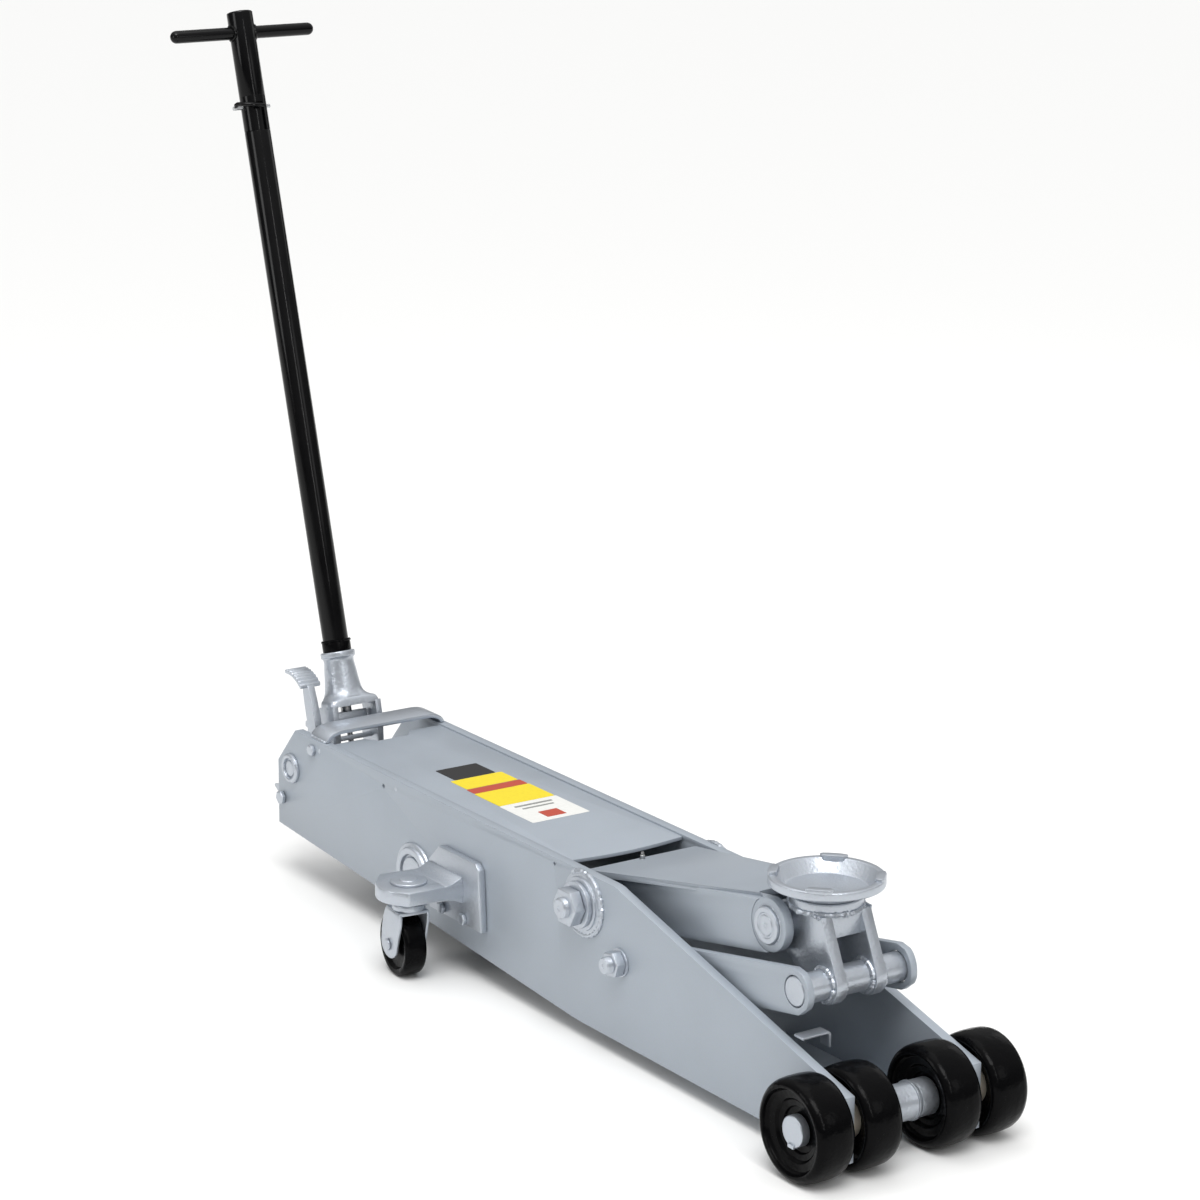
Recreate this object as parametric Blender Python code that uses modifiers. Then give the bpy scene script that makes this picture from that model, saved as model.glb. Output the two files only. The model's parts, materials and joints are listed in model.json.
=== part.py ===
"""Long-chassis hydraulic trolley jack, 20 tonne class, modelled as its bench-level pieces.

Metres, +Z up, +X towards the saddle. The origin is on the ground, under the middle of the jack.
"Right" is the -Y side and "left" the +Y side, as seen from the handle. The arm stands partly raised.
"""

import math

import bmesh
import bpy
from mathutils import Matrix, Vector

# Running gear
AXLE_X = 0.9097
WHEEL_R = 0.0777
WHEEL_W = 0.065
WHEEL_GAP = 0.0020
AXLE_R = 0.020

# Side plates: distances along X are measured back from the front axle
PLATE_IN = 0.107
PLATE_T = 0.0165
PLATE_OUT = PLATE_IN + PLATE_T
REAR_X = AXLE_X - 1.5597
REAR_TOP_X = AXLE_X - 1.4998
BEND_X = AXLE_X - 0.6337
SHOULDER_X = AXLE_X - 0.5313
FRONT_X = AXLE_X + 0.0431
TOP_Z = 0.275
BOTTOM_Z = 0.0275
REAR_BOTTOM_Z = 0.0935
CHAMFER_Z = 0.208
FRONT_TOP_Z = 0.1285

# Parallelogram lift: arm pivot, link pivot, and the same offset again at the saddle bracket
ARM_PIVOT = Vector((AXLE_X - 0.6125, 0, 0.2245))
LINK_PIVOT = Vector((AXLE_X - 0.5135, 0, 0.1585))
ARM_LENGTH = 0.4096
ARM_ANGLE = math.radians(10.7)
ARM_RUN = Vector((ARM_LENGTH * math.cos(ARM_ANGLE), 0, ARM_LENGTH * math.sin(ARM_ANGLE)))
SADDLE_PIVOT = ARM_PIVOT + ARM_RUN
LINK_END = LINK_PIVOT + ARM_RUN
MAIN_SHAFT_R = 0.0225
STUD_R = 0.0165
EAR_IN = 0.0575
EAR_T = 0.016
BARREL_R = 0.041
HUB_R = 0.0445
TOP_SKIN = 0.010
LINK_IN = 0.088
LINK_T = 0.012
LINK_H = 0.035
LINK_PIN_R = 0.0225
BRACKET_IN = 0.0265
BRACKET_T = 0.0195
SADDLE_X = AXLE_X - 0.169
SADDLE_TOP_Z = 0.3766
SADDLE_R = 0.0866
NECK_R = 0.0545
NECK_Z = 0.330

# Bell-crank horn and hydraulics
HORN_R = 0.100
HORN_BACK = math.radians(16.5)
HORN_PIN = ARM_PIVOT + Vector((-HORN_R * math.sin(HORN_BACK), 0, -HORN_R * math.cos(HORN_BACK)))
HORN_PIN_R = 0.014
HORN_IN = 0.034
RAM_Z = 0.138
RAM_ROD_R = 0.026
PISTON_R = 0.040
CYLINDER_R = 0.052
CYLINDER_FRONT = AXLE_X - 0.728
CYLINDER_REAR = AXLE_X - 1.305
TRUNNION = Vector((AXLE_X - 1.1060, 0, 0.1280))
TRUNNION_R = 0.020
PUMP_BLOCK_REAR = AXLE_X - 1.420

# Handle: the socket pivots on two stub pins, and the handle leans back from upright
HANDLE_PIVOT = Vector((AXLE_X - 1.5125, 0, 0.2039))
HANDLE_LEAN = math.radians(16.1)
HANDLE_R = 0.0225
HANDLE_TOP = 1.3087
HANDLE_JOINT = 1.100
T_BAR_AT = 1.2718
T_BAR_R = 0.011
T_BAR_LENGTH = 0.280
COLLAR_TOP = 0.1857
YOKE_TOP = 0.101
YOKE_HALF = 0.0485
YOKE_LOW = 0.0905
EAR_WALL = 0.011
STUB_R = 0.0145
CAM_DROP = 0.045
CAM_R = 0.012
PUMP_Z = 0.168
PUMP_HEAD_X = AXLE_X - 1.4855

# Rear casters
CASTER_X = AXLE_X - 0.995
CASTER_Y = 0.205
CASTER_R = 0.0535
CASTER_W = 0.038
CASTER_TRAIL = 0.022
CASTER_TURN = math.radians(-7)
ARM_TOP_Z = 0.163
ARM_BOTTOM_Z = 0.139
FORK_TOP_Z = 0.118

GAP = 0.0003
RIGHT, LEFT = -1, 1

FINISHES = {
    "paint": ((0.40, 0.43, 0.46), 0.42, 0.15),
    "casting": ((0.47, 0.50, 0.53), 0.45, 0.35),
    "gloss_black": ((0.008, 0.008, 0.009), 0.18, 0.0),
    "steel": ((0.55, 0.56, 0.57), 0.32, 0.9),
    "plated": ((0.62, 0.63, 0.64), 0.28, 0.9),
    "spring": ((0.12, 0.12, 0.13), 0.4, 0.8),
}


# --- Scene and helpers -------------------------------------------------------------------------

for old in list(bpy.data.objects):
    bpy.data.objects.remove(old)

PARTS = bpy.data.collections.new("trolley_jack")
TOOLS = bpy.data.collections.new("cutters")
bpy.context.scene.collection.children.link(PARTS)
bpy.context.scene.collection.children.link(TOOLS)


def finish(name, kind):
    """A material of its own for one piece."""
    colour, roughness, metallic = FINISHES[kind]
    material = bpy.data.materials.new(name)
    material.use_nodes = True
    shader = material.node_tree.nodes["Principled BSDF"]
    shader.inputs["Base Color"].default_value = (*colour, 1)
    shader.inputs["Roughness"].default_value = roughness
    shader.inputs["Metallic"].default_value = metallic
    return material


def place(name, mesh, kind, location=(0, 0, 0), rotation=(0, 0, 0)):
    """Links a mesh as a piece of the jack, or as a hidden tool when kind is None."""
    piece = bpy.data.objects.new(name, mesh)
    piece.location = location
    piece.rotation_euler = rotation
    if kind is None:
        TOOLS.objects.link(piece)
        piece.hide_render = True
        piece.display_type = "WIRE"
    else:
        PARTS.objects.link(piece)
        mesh.materials.append(finish(name, kind))
    return piece


def box(name, kind, low, high, rotation=(0, 0, 0), about=(0, 0, 0)):
    """A block between two corners, turned about a point afterwards."""
    size = Vector(high) - Vector(low)
    middle = (Vector(high) + Vector(low)) / 2
    bm = bmesh.new()
    shape = Matrix.Translation(middle) @ Matrix.Diagonal((*size, 1))
    bmesh.ops.create_cube(bm, size=1, matrix=shape)
    mesh = bpy.data.meshes.new(name)
    bm.to_mesh(mesh)
    bm.free()
    return place(name, mesh, kind, about, rotation)


def arc(centre, radius, start, end, steps):
    """Points on an arc, in degrees, both ends included."""
    turn = [math.radians(start + (end - start) * i / steps) for i in range(steps + 1)]
    return [(centre[0] + radius * math.cos(a), centre[1] + radius * math.sin(a)) for a in turn]


def circle(centre, radius, steps=24):
    return arc(centre, radius, 0, 360, steps)[:-1]


def plate(name, kind, outlines, middle_y, thickness):
    """A flat plate in the XZ plane: the first outline is its edge and the rest are its holes."""
    curve = bpy.data.curves.new(name, "CURVE")
    curve.dimensions = "2D"
    curve.fill_mode = "BOTH"
    curve.extrude = thickness / 2
    for outline in outlines:
        spline = curve.splines.new("POLY")
        spline.points.add(len(outline) - 1)
        for point, (x, z) in zip(spline.points, outline):
            point.co = (x, z, 0, 1)
        spline.use_cyclic_u = True
    return solid_of(curve, name, kind, (0, middle_y, 0), (math.pi / 2, 0, 0))


def solid_of(curve, name, kind, location, rotation=(0, 0, 0)):
    """Turns a curve into a welded mesh piece."""
    guide = bpy.data.objects.new(name + "_curve", curve)
    bpy.context.scene.collection.objects.link(guide)
    graph = bpy.context.evaluated_depsgraph_get()
    mesh = bpy.data.meshes.new_from_object(guide.evaluated_get(graph))
    mesh.name = name
    bpy.data.objects.remove(guide)
    bm = bmesh.new()
    bm.from_mesh(mesh)
    bmesh.ops.remove_doubles(bm, verts=bm.verts, dist=0.00001)
    bmesh.ops.recalc_face_normals(bm, faces=bm.faces)
    bm.to_mesh(mesh)
    bm.free()
    return place(name, mesh, kind, location, rotation)


ALONG = {"X": (0, math.pi / 2, 0), "Y": (-math.pi / 2, 0, 0), "Z": (0, 0, 0)}


def turned(name, kind, profile, location, along="Z", steps=24, ring=False):
    """A turned piece. The profile holds (radius, height) from top to bottom on its outer side.

    A ring's profile is a closed loop. "along" is the world axis that the profile's height follows.
    """
    count = len(profile)
    edges = [(i, i + 1) for i in range(count - 1)]
    if ring:
        edges.append((count - 1, 0))
    mesh = bpy.data.meshes.new(name)
    mesh.from_pydata([(radius, 0, height) for radius, height in profile], edges, [])
    rotation = along if isinstance(along, tuple) else ALONG[along]
    piece = place(name, mesh, kind, location, rotation)
    screw = piece.modifiers.new("turn", "SCREW")
    screw.steps = screw.render_steps = steps
    screw.use_merge_vertices = True
    screw.merge_threshold = 0.00001
    screw.use_smooth_shade = True
    return piece


def rod(name, kind, radius, start, end, location, along="Y", steps=24):
    """A plain round bar between two heights on its axis."""
    return turned(name, kind, [(0, end), (radius, end), (radius, start), (0, start)], location, along, steps)


def tube(name, kind, outer, inner, start, end, location, along="Y", steps=24):
    profile = [(outer, end), (outer, start), (inner, start), (inner, end)]
    return turned(name, kind, profile, location, along, steps, ring=True)


def combine(piece, others, operation):
    for other in others:
        modifier = piece.modifiers.new(operation.lower(), "BOOLEAN")
        modifier.operation = operation
        modifier.object = other
        modifier.solver = "EXACT"
    return piece


def join(piece, *others):
    return combine(piece, others, "UNION")


def cut(piece, *others):
    return combine(piece, others, "DIFFERENCE")


def smooth(piece, angle=35):
    piece.data.shade_smooth()
    piece.data.set_sharp_from_angle(angle=math.radians(angle))
    return piece


def pivot(name, location):
    """An empty on a joint's axis."""
    empty = bpy.data.objects.new(name, None)
    empty.location = location
    empty.empty_display_size = 0.05
    PARTS.objects.link(empty)
    return empty


def hang(axis, *pieces):
    """Parents pieces to a joint's empty and leaves them where they are."""
    for piece in pieces:
        piece.parent = axis
        piece.location -= axis.location
    return pieces[0]


def both_sides(make):
    """Makes a piece for each side of the jack."""
    return [make(side, word) for side, word in ((RIGHT, "right"), (LEFT, "left"))]


def span(side, inner, outer):
    """The low and high Y of something between two distances from the centre plane."""
    return tuple(sorted((side * inner, side * outer)))


def outward(side, profile):
    """A profile given as (radius, distance from the centre plane), outermost first."""
    if side == LEFT:
        return profile
    return [(radius, -distance) for radius, distance in reversed(profile)]


def arm_point(u, w, base):
    """A point u along the lift arm and w above its line."""
    c, s = math.cos(ARM_ANGLE), math.sin(ARM_ANGLE)
    return (base.x + u * c - w * s, base.z + u * s + w * c)


# --- Chassis -----------------------------------------------------------------------------------

SIDE_OUTLINE = [
    (REAR_X, REAR_BOTTOM_Z),
    (BEND_X - 0.02, BOTTOM_Z + 0.0014),
    (BEND_X + 0.02, BOTTOM_Z),
    (FRONT_X, BOTTOM_Z),
    (FRONT_X, FRONT_TOP_Z),
    (SHOULDER_X + 0.015, TOP_Z - 0.0039),
    (SHOULDER_X + 0.005, TOP_Z - 0.0010),
    (SHOULDER_X - 0.010, TOP_Z),
    (REAR_TOP_X, TOP_Z),
    (REAR_X, CHAMFER_Z),
]
REAR_TIE = (AXLE_X - 1.5440, 0.1432)
TIE_R = 0.008
SIDE_HOLES = [
    circle((AXLE_X, WHEEL_R), AXLE_R + 2 * GAP),
    circle((ARM_PIVOT.x, ARM_PIVOT.z), MAIN_SHAFT_R + 2 * GAP),
    circle((LINK_PIVOT.x, LINK_PIVOT.z), STUB_R + 2 * GAP),
    circle((TRUNNION.x, TRUNNION.z), TRUNNION_R + 2 * GAP),
    circle((HANDLE_PIVOT.x, HANDLE_PIVOT.z), STUB_R + 2 * GAP),
    circle(REAR_TIE, TIE_R + 2 * GAP, 12),
]


def side_plate(side, word):
    middle = side * (PLATE_IN + PLATE_OUT) / 2
    return plate("side_plate_" + word, "paint", [SIDE_OUTLINE, *SIDE_HOLES], middle, PLATE_T)


both_sides(side_plate)

# The cover is let in between the plates, with a bowed front edge and a notch for the release gear.
COVER_TOP = 0.2725
COVER_T = 0.006
COVER_HALF = PLATE_IN - GAP
COVER_FRONT = AXLE_X - 0.676
COVER_REAR = AXLE_X - 1.400
bow = [(COVER_FRONT + 0.010 * math.cos(math.pi * i / 12), COVER_HALF * i / 6) for i in range(-6, 7)]
notch = [(COVER_REAR, 0.045), (COVER_REAR + 0.022, 0.030), (COVER_REAR + 0.022, -0.030), (COVER_REAR, -0.045)]
cover_curve = bpy.data.curves.new("top_cover", "CURVE")
cover_curve.dimensions = "2D"
cover_curve.fill_mode = "BOTH"
cover_curve.extrude = COVER_T / 2
cover_outline = [*bow, (COVER_REAR, COVER_HALF), *notch, (COVER_REAR, -COVER_HALF)]
cover_spline = cover_curve.splines.new("POLY")
cover_spline.points.add(len(cover_outline) - 1)
for point, (x, y) in zip(cover_spline.points, cover_outline):
    point.co = (x, y, 0, 1)
cover_spline.use_cyclic_u = True
solid_of(cover_curve, "top_cover", "paint", (0, 0, COVER_TOP - COVER_T / 2))

# A strap with rounded, turned-down ends bridges the plates in front of the handle.
BRIDGE_TOP = 0.295
BRIDGE_T = 0.008
BRIDGE_X = AXLE_X - 1.4285
BRIDGE_HALF_X = 0.027
BRIDGE_HALF = 0.1185
BRIDGE_FLAT = 0.082
bridge_foot = TOP_Z + GAP
quarter = [math.radians(a) for a in (18, 36, 54, 72, 90)]
bend = BRIDGE_HALF - BRIDGE_FLAT
rise = BRIDGE_TOP - bridge_foot
half_strap = [(BRIDGE_HALF, bridge_foot)]
half_strap += [(BRIDGE_FLAT + bend * math.cos(a), bridge_foot + rise * math.sin(a)) for a in quarter]
inner_bend = bend - BRIDGE_T
inner_rise = rise - BRIDGE_T
half_under = [
    (BRIDGE_FLAT + inner_bend * math.cos(a), bridge_foot + inner_rise * math.sin(a)) for a in reversed(quarter)
]
half_under.append((BRIDGE_HALF - BRIDGE_T, bridge_foot))
bridge_outline = [
    *half_strap,
    *[(-y, z) for y, z in reversed(half_strap)],
    *[(-y, z) for y, z in reversed(half_under)],
    *half_under,
]
bridge = plate("rear_bridge", "paint", [bridge_outline], 0, 2 * BRIDGE_HALF_X)
bridge.rotation_euler = (math.pi / 2, 0, math.pi / 2)
bridge.location = (BRIDGE_X, 0, 0)

box(
    "bottom_tie_plate",
    "paint",
    (AXLE_X - 0.400, -PLATE_IN + GAP, BOTTOM_Z + 0.001),
    (AXLE_X - 0.095, PLATE_IN - GAP, BOTTOM_Z + 0.007),
)

tie_head = 0.0095
tie_profile = [
    (0, PLATE_OUT + 0.009),
    (tie_head, PLATE_OUT + 0.009),
    (tie_head, PLATE_OUT + GAP),
    (TIE_R, PLATE_OUT + GAP),
    (TIE_R, -PLATE_OUT - GAP),
    (tie_head, -PLATE_OUT - GAP),
    (tie_head, -PLATE_OUT - 0.009),
    (0, -PLATE_OUT - 0.009),
]
turned("rear_tie_rod", "plated", tie_profile, (REAR_TIE[0], 0, REAR_TIE[1]), "Y", 12)

# --- Front axle and wheels ---------------------------------------------------------------------

AXLE_AT = Vector((AXLE_X, 0, WHEEL_R))
INNER_FACE = PLATE_IN - WHEEL_GAP - WHEEL_W
OUTER_FACE = PLATE_OUT + WHEEL_GAP + WHEEL_W
RECESS = 0.0215
AXLE_END_R = 0.026
axle_half = [
    (AXLE_END_R, OUTER_FACE - 0.006),
    (AXLE_END_R, OUTER_FACE - RECESS + 2 * GAP),
    (AXLE_R, OUTER_FACE - RECESS + 2 * GAP),
]
axle_profile = [
    (0, OUTER_FACE - 0.006),
    *axle_half,
    *[(radius, -height) for radius, height in reversed(axle_half)],
    (0, -OUTER_FACE + 0.006),
]
turned("front_axle", "plated", axle_profile, AXLE_AT, "Y")
SPACER_HALF = INNER_FACE + RECESS - 2 * GAP
tube("axle_spacer", "casting", 0.028, AXLE_R + 2 * GAP, -SPACER_HALF, SPACER_HALF, AXLE_AT)

half = WHEEL_W / 2
wheel_tread = [(0.0700, half), (0.0745, half - 0.004), (0.0768, half - 0.012), (WHEEL_R, half - 0.024)]
wheel_face = [(AXLE_R + 2 * GAP, half - RECESS), (0.036, half - RECESS), (0.040, half - 0.016), (0.0635, half - 0.016)]
wheel_face.append((0.0655, half))
wheel_profile = [
    *wheel_tread,
    *[(radius, -height) for radius, height in reversed(wheel_tread)],
    *[(radius, -height) for radius, height in reversed(wheel_face)],
    *wheel_face,
]
for side, word in ((RIGHT, "right"), (LEFT, "left")):
    for row, face in (("inner", INNER_FACE), ("outer", PLATE_OUT + WHEEL_GAP)):
        centre = AXLE_AT + Vector((0, side * (face + half), 0))
        name = f"front_wheel_{row}_{word}"
        wheel = turned(name, "gloss_black", wheel_profile, centre, "Y", 24, ring=True)
        hang(pivot("axis_" + name, AXLE_AT), wheel)

# --- Main pivot, link pivots and trunnions -----------------------------------------------------

NUT_R = 0.0254
BOSS_OUT = PLATE_OUT + 0.018
NUT_OUT = BOSS_OUT + 0.020
shaft_half = [
    (0.0145, NUT_OUT + 0.009),
    (STUD_R, NUT_OUT + 0.007),
    (STUD_R, PLATE_OUT),
    (MAIN_SHAFT_R, PLATE_OUT),
]
shaft_profile = [
    (0, NUT_OUT + 0.009),
    *shaft_half,
    *[(radius, -height) for radius, height in reversed(shaft_half)],
    (0, -NUT_OUT - 0.009),
]
turned("main_pivot_shaft", "plated", shaft_profile, ARM_PIVOT, "Y")


def main_boss(side, word):
    """A welded boss ring and the two washers on it."""
    bore = STUD_R + 2 * GAP
    profile = [
        (0.036, BOSS_OUT - GAP),
        (0.036, PLATE_OUT + 0.0145),
        (0.043, PLATE_OUT + 0.0145),
        (0.043, PLATE_OUT + 0.0105),
        (0.0475, PLATE_OUT + 0.0095),
        (0.0505, PLATE_OUT + GAP),
        (bore, PLATE_OUT + GAP),
        (bore, BOSS_OUT - GAP),
    ]
    if side == RIGHT:
        profile = [(radius, -height) for radius, height in reversed(profile)]
    return turned("main_pivot_boss_" + word, "casting", profile, ARM_PIVOT, "Y", ring=True)


def hexagon(centre, radius):
    return arc(centre, radius, 30, 390, 6)[:-1]


def main_nut(side, word):
    centre = (ARM_PIVOT.x, ARM_PIVOT.z)
    outlines = [hexagon(centre, NUT_R), circle(centre, STUD_R + 2 * GAP)]
    middle = side * (BOSS_OUT + NUT_OUT) / 2
    return plate("main_pivot_nut_" + word, "plated", outlines, middle, NUT_OUT - BOSS_OUT - 2 * GAP)


def link_bolt(side, word):
    """Shoulder pin, washer and nut of one radius link."""
    profile = outward(
        side,
        [
            (0, PLATE_OUT + 0.032),
            (0.0125, PLATE_OUT + 0.032),
            (0.0139, PLATE_OUT + 0.030),
            (0.0139, PLATE_OUT + 0.0035),
            (0.0225, PLATE_OUT + 0.0035),
            (0.0225, PLATE_OUT + GAP),
            (STUB_R, PLATE_OUT + GAP),
            (STUB_R, LINK_IN - 0.001),
            (0, LINK_IN - 0.001),
        ],
    )
    bolt = turned("link_pivot_bolt_" + word, "plated", profile, LINK_PIVOT, "Y")
    centre = (LINK_PIVOT.x, LINK_PIVOT.z)
    middle = side * (PLATE_OUT + 0.012)
    nut = plate("link_nut_blank_" + word, None, [hexagon(centre, 0.0195)], middle, 0.019)
    return join(bolt, nut)


def trunnion_pin(side, word):
    """A flat-headed pin that carries the cylinder in one side plate."""
    profile = outward(
        side,
        [
            (0, PLATE_OUT + 0.010),
            (0.0300, PLATE_OUT + 0.010),
            (0.0320, PLATE_OUT + 0.007),
            (0.0540, PLATE_OUT + 0.007),
            (0.0560, PLATE_OUT + 0.004),
            (0.0590, PLATE_OUT + GAP),
            (TRUNNION_R, PLATE_OUT + GAP),
            (TRUNNION_R, 0.064),
            (0, 0.064),
        ],
    )
    return turned("trunnion_pin_" + word, "casting", profile, TRUNNION, "Y")


def handle_pin(side, word):
    """A flanged stub pin that the handle socket pivots on."""
    profile = outward(
        side,
        [
            (0, PLATE_OUT + 0.004),
            (0.013, PLATE_OUT + 0.004),
            (0.013, PLATE_OUT + 0.007),
            (0.026, PLATE_OUT + 0.007),
            (0.026, PLATE_OUT + GAP),
            (STUB_R, PLATE_OUT + GAP),
            (STUB_R, YOKE_HALF - EAR_WALL - 0.001),
            (0, YOKE_HALF - EAR_WALL - 0.001),
        ],
    )
    return turned("handle_pivot_pin_" + word, "casting", profile, HANDLE_PIVOT, "Y")


both_sides(main_boss)
both_sides(main_nut)
both_sides(link_bolt)
both_sides(trunnion_pin)
both_sides(handle_pin)

# --- Lift arm ----------------------------------------------------------------------------------

ARM_AXIS = pivot("axis_arm_lift", ARM_PIVOT)
WEB_LOW = -0.043
SLOT_START = ARM_LENGTH - 0.045


def arm_web(side, word):
    """A side web from the hub to the barrel, under the top plate."""
    barrel = arc((ARM_LENGTH, 0), BARREL_R, -90, 90, 12)
    hub = arc((0, 0), HUB_R, 120, 270, 8)
    outline = [*hub, (0.05, WEB_LOW), (ARM_LENGTH - 0.02, WEB_LOW), *barrel]
    outline = [arm_point(u, w, ARM_PIVOT) for u, w in outline]
    bore = circle(arm_point(ARM_LENGTH, 0, ARM_PIVOT), LINK_PIN_R + 2 * GAP)
    kind = "paint" if side == RIGHT else None
    name = "lift_arm" if side == RIGHT else "arm_web_left"
    return plate(name, kind, [outline, bore], side * (EAR_IN + EAR_T / 2), EAR_T)


lift_arm, left_web = both_sides(arm_web)

# The top plate tapers towards the saddle and is slotted between the two ears.
taper = [(-0.016, 0.1030), (0.380, EAR_IN + EAR_T), (ARM_LENGTH, EAR_IN + EAR_T)]
top_outline = [
    *taper,
    (ARM_LENGTH, EAR_IN),
    (SLOT_START, EAR_IN),
    (SLOT_START, -EAR_IN),
    (ARM_LENGTH, -EAR_IN),
    *[(u, -y) for u, y in reversed(taper)],
]
top_curve = bpy.data.curves.new("arm_top_plate", "CURVE")
top_curve.dimensions = "2D"
top_curve.fill_mode = "BOTH"
top_curve.extrude = TOP_SKIN / 2
top_spline = top_curve.splines.new("POLY")
top_spline.points.add(len(top_outline) - 1)
for point, (u, y) in zip(top_spline.points, top_outline):
    point.co = (u, y, 0, 1)
top_spline.use_cyclic_u = True
top_height = 0.0470
top_fall = math.atan2(top_height - BARREL_R, ARM_LENGTH)
top_x, top_z = arm_point(0, top_height - TOP_SKIN / 2, ARM_PIVOT)
top_plate = solid_of(top_curve, "arm_top_plate", None, (top_x, 0, top_z), (0, top_fall - ARM_ANGLE, 0))

hub_tube = rod("arm_hub", None, HUB_R - 0.001, -EAR_IN - EAR_T - 0.012, EAR_IN + EAR_T + 0.012, ARM_PIVOT)


def horn(side, word):
    """One plate of the bell crank that the ram pushes."""
    drop = math.degrees(math.atan2(HORN_PIN.z - ARM_PIVOT.z, HORN_PIN.x - ARM_PIVOT.x))
    foot = arc((HORN_PIN.x, HORN_PIN.z), 0.027, drop - 90, drop + 90, 8)
    head = arc((ARM_PIVOT.x, ARM_PIVOT.z), 0.038, drop + 100, drop + 260, 6)
    bore = circle((HORN_PIN.x, HORN_PIN.z), HORN_PIN_R + 2 * GAP)
    middle = side * (HORN_IN + 0.008)
    return plate("arm_horn_" + word, None, [[*foot, *head], bore], middle, 0.016)


horns = both_sides(horn)
cross_web = box(
    "arm_cross_web",
    None,
    (0.130, -EAR_IN - 0.004, -0.030),
    (0.142, EAR_IN + 0.004, 0.036),
    (0, -ARM_ANGLE, 0),
    ARM_PIVOT,
)
join(lift_arm, left_web, top_plate, hub_tube, *horns, cross_web)
shaft_bore = rod("arm_bore", None, MAIN_SHAFT_R + 2 * GAP, -0.12, 0.12, ARM_PIVOT)
cut(lift_arm, shaft_bore)
hang(ARM_AXIS, lift_arm)

horn_reach = 0.074
hang(ARM_AXIS, rod("horn_pin", "steel", HORN_PIN_R, -horn_reach, horn_reach, HORN_PIN))

PIN_HEAD = EAR_IN + EAR_T + 0.006
pin_half = [(0.0325, PIN_HEAD), (0.0325, EAR_IN + EAR_T + GAP), (LINK_PIN_R, EAR_IN + EAR_T + GAP)]
pin_profile = [
    (0, PIN_HEAD),
    *pin_half,
    *[(radius, -height) for radius, height in reversed(pin_half)],
    (0, -PIN_HEAD),
]
hang(ARM_AXIS, turned("saddle_pivot_pin", "casting", pin_profile, SADDLE_PIVOT, "Y"))

# --- Radius links ------------------------------------------------------------------------------


def radius_link(side, word):
    """The lower bar of the parallelogram, with a chamfered front end."""
    nose = [(ARM_LENGTH + 0.012, -LINK_H), (ARM_LENGTH + 0.031, -0.018), (ARM_LENGTH + 0.034, 0.004)]
    nose += [(ARM_LENGTH + 0.028, 0.022), (ARM_LENGTH + 0.014, LINK_H)]
    outline = [*arc((0, 0), LINK_H - 0.002, 90, 270, 8), *nose]
    outline = [arm_point(u, w, LINK_PIVOT) for u, w in outline]
    rear = circle(arm_point(0, 0, LINK_PIVOT), STUB_R + 2 * GAP)
    front = circle(arm_point(ARM_LENGTH, 0, LINK_PIVOT), LINK_PIN_R + 0.0015)
    middle = side * (LINK_IN + LINK_T / 2)
    return plate("radius_link_" + word, "paint", [outline, rear, front], middle, LINK_T)


hang(pivot("axis_links", LINK_PIVOT), *both_sides(radius_link))

# --- Saddle bracket and saddle -----------------------------------------------------------------

BRACKET_AXIS = pivot("axis_saddle_bracket", SADDLE_PIVOT)
bracket_foot = arc((LINK_END.x, LINK_END.z), 0.031, -125, 20, 8)
bracket_back = arc((SADDLE_PIVOT.x, SADDLE_PIVOT.z), 0.033, 150, 245, 6)
bracket_outline = [
    *bracket_foot,
    (SADDLE_X + 0.050, NECK_Z - 0.004),
    (SADDLE_X + 0.048, NECK_Z + 0.002),
    (SADDLE_X - 0.048, NECK_Z + 0.002),
    *bracket_back,
]
bracket_holes = [
    circle((SADDLE_PIVOT.x, SADDLE_PIVOT.z), LINK_PIN_R + 2 * GAP),
    circle((LINK_END.x, LINK_END.z), LINK_PIN_R + 2 * GAP),
]


def bracket_leg(side, word):
    kind = "casting" if side == RIGHT else None
    name = "saddle_bracket" if side == RIGHT else "bracket_leg_left"
    middle = side * (BRACKET_IN + BRACKET_T / 2)
    return plate(name, kind, [bracket_outline, *bracket_holes], middle, BRACKET_T)


bracket, left_leg = both_sides(bracket_leg)
BRACKET_OUT = BRACKET_IN + BRACKET_T
front_web = box(
    "bracket_front_web",
    None,
    (SADDLE_X + 0.038, -BRACKET_IN - 0.002, 0.306),
    (SADDLE_X + 0.049, BRACKET_IN + 0.002, NECK_Z + 0.001),
)
neck = tube("bracket_neck", None, NECK_R, 0.0205, NECK_Z, NECK_Z + 0.018, (SADDLE_X, 0, 0), "Z")
join(bracket, left_leg, front_web, neck)
cross_shaft = rod("cross_shaft", "casting", LINK_PIN_R, -LINK_IN - LINK_T, LINK_IN + LINK_T, LINK_END)
hang(BRACKET_AXIS, bracket, cross_shaft)

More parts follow.
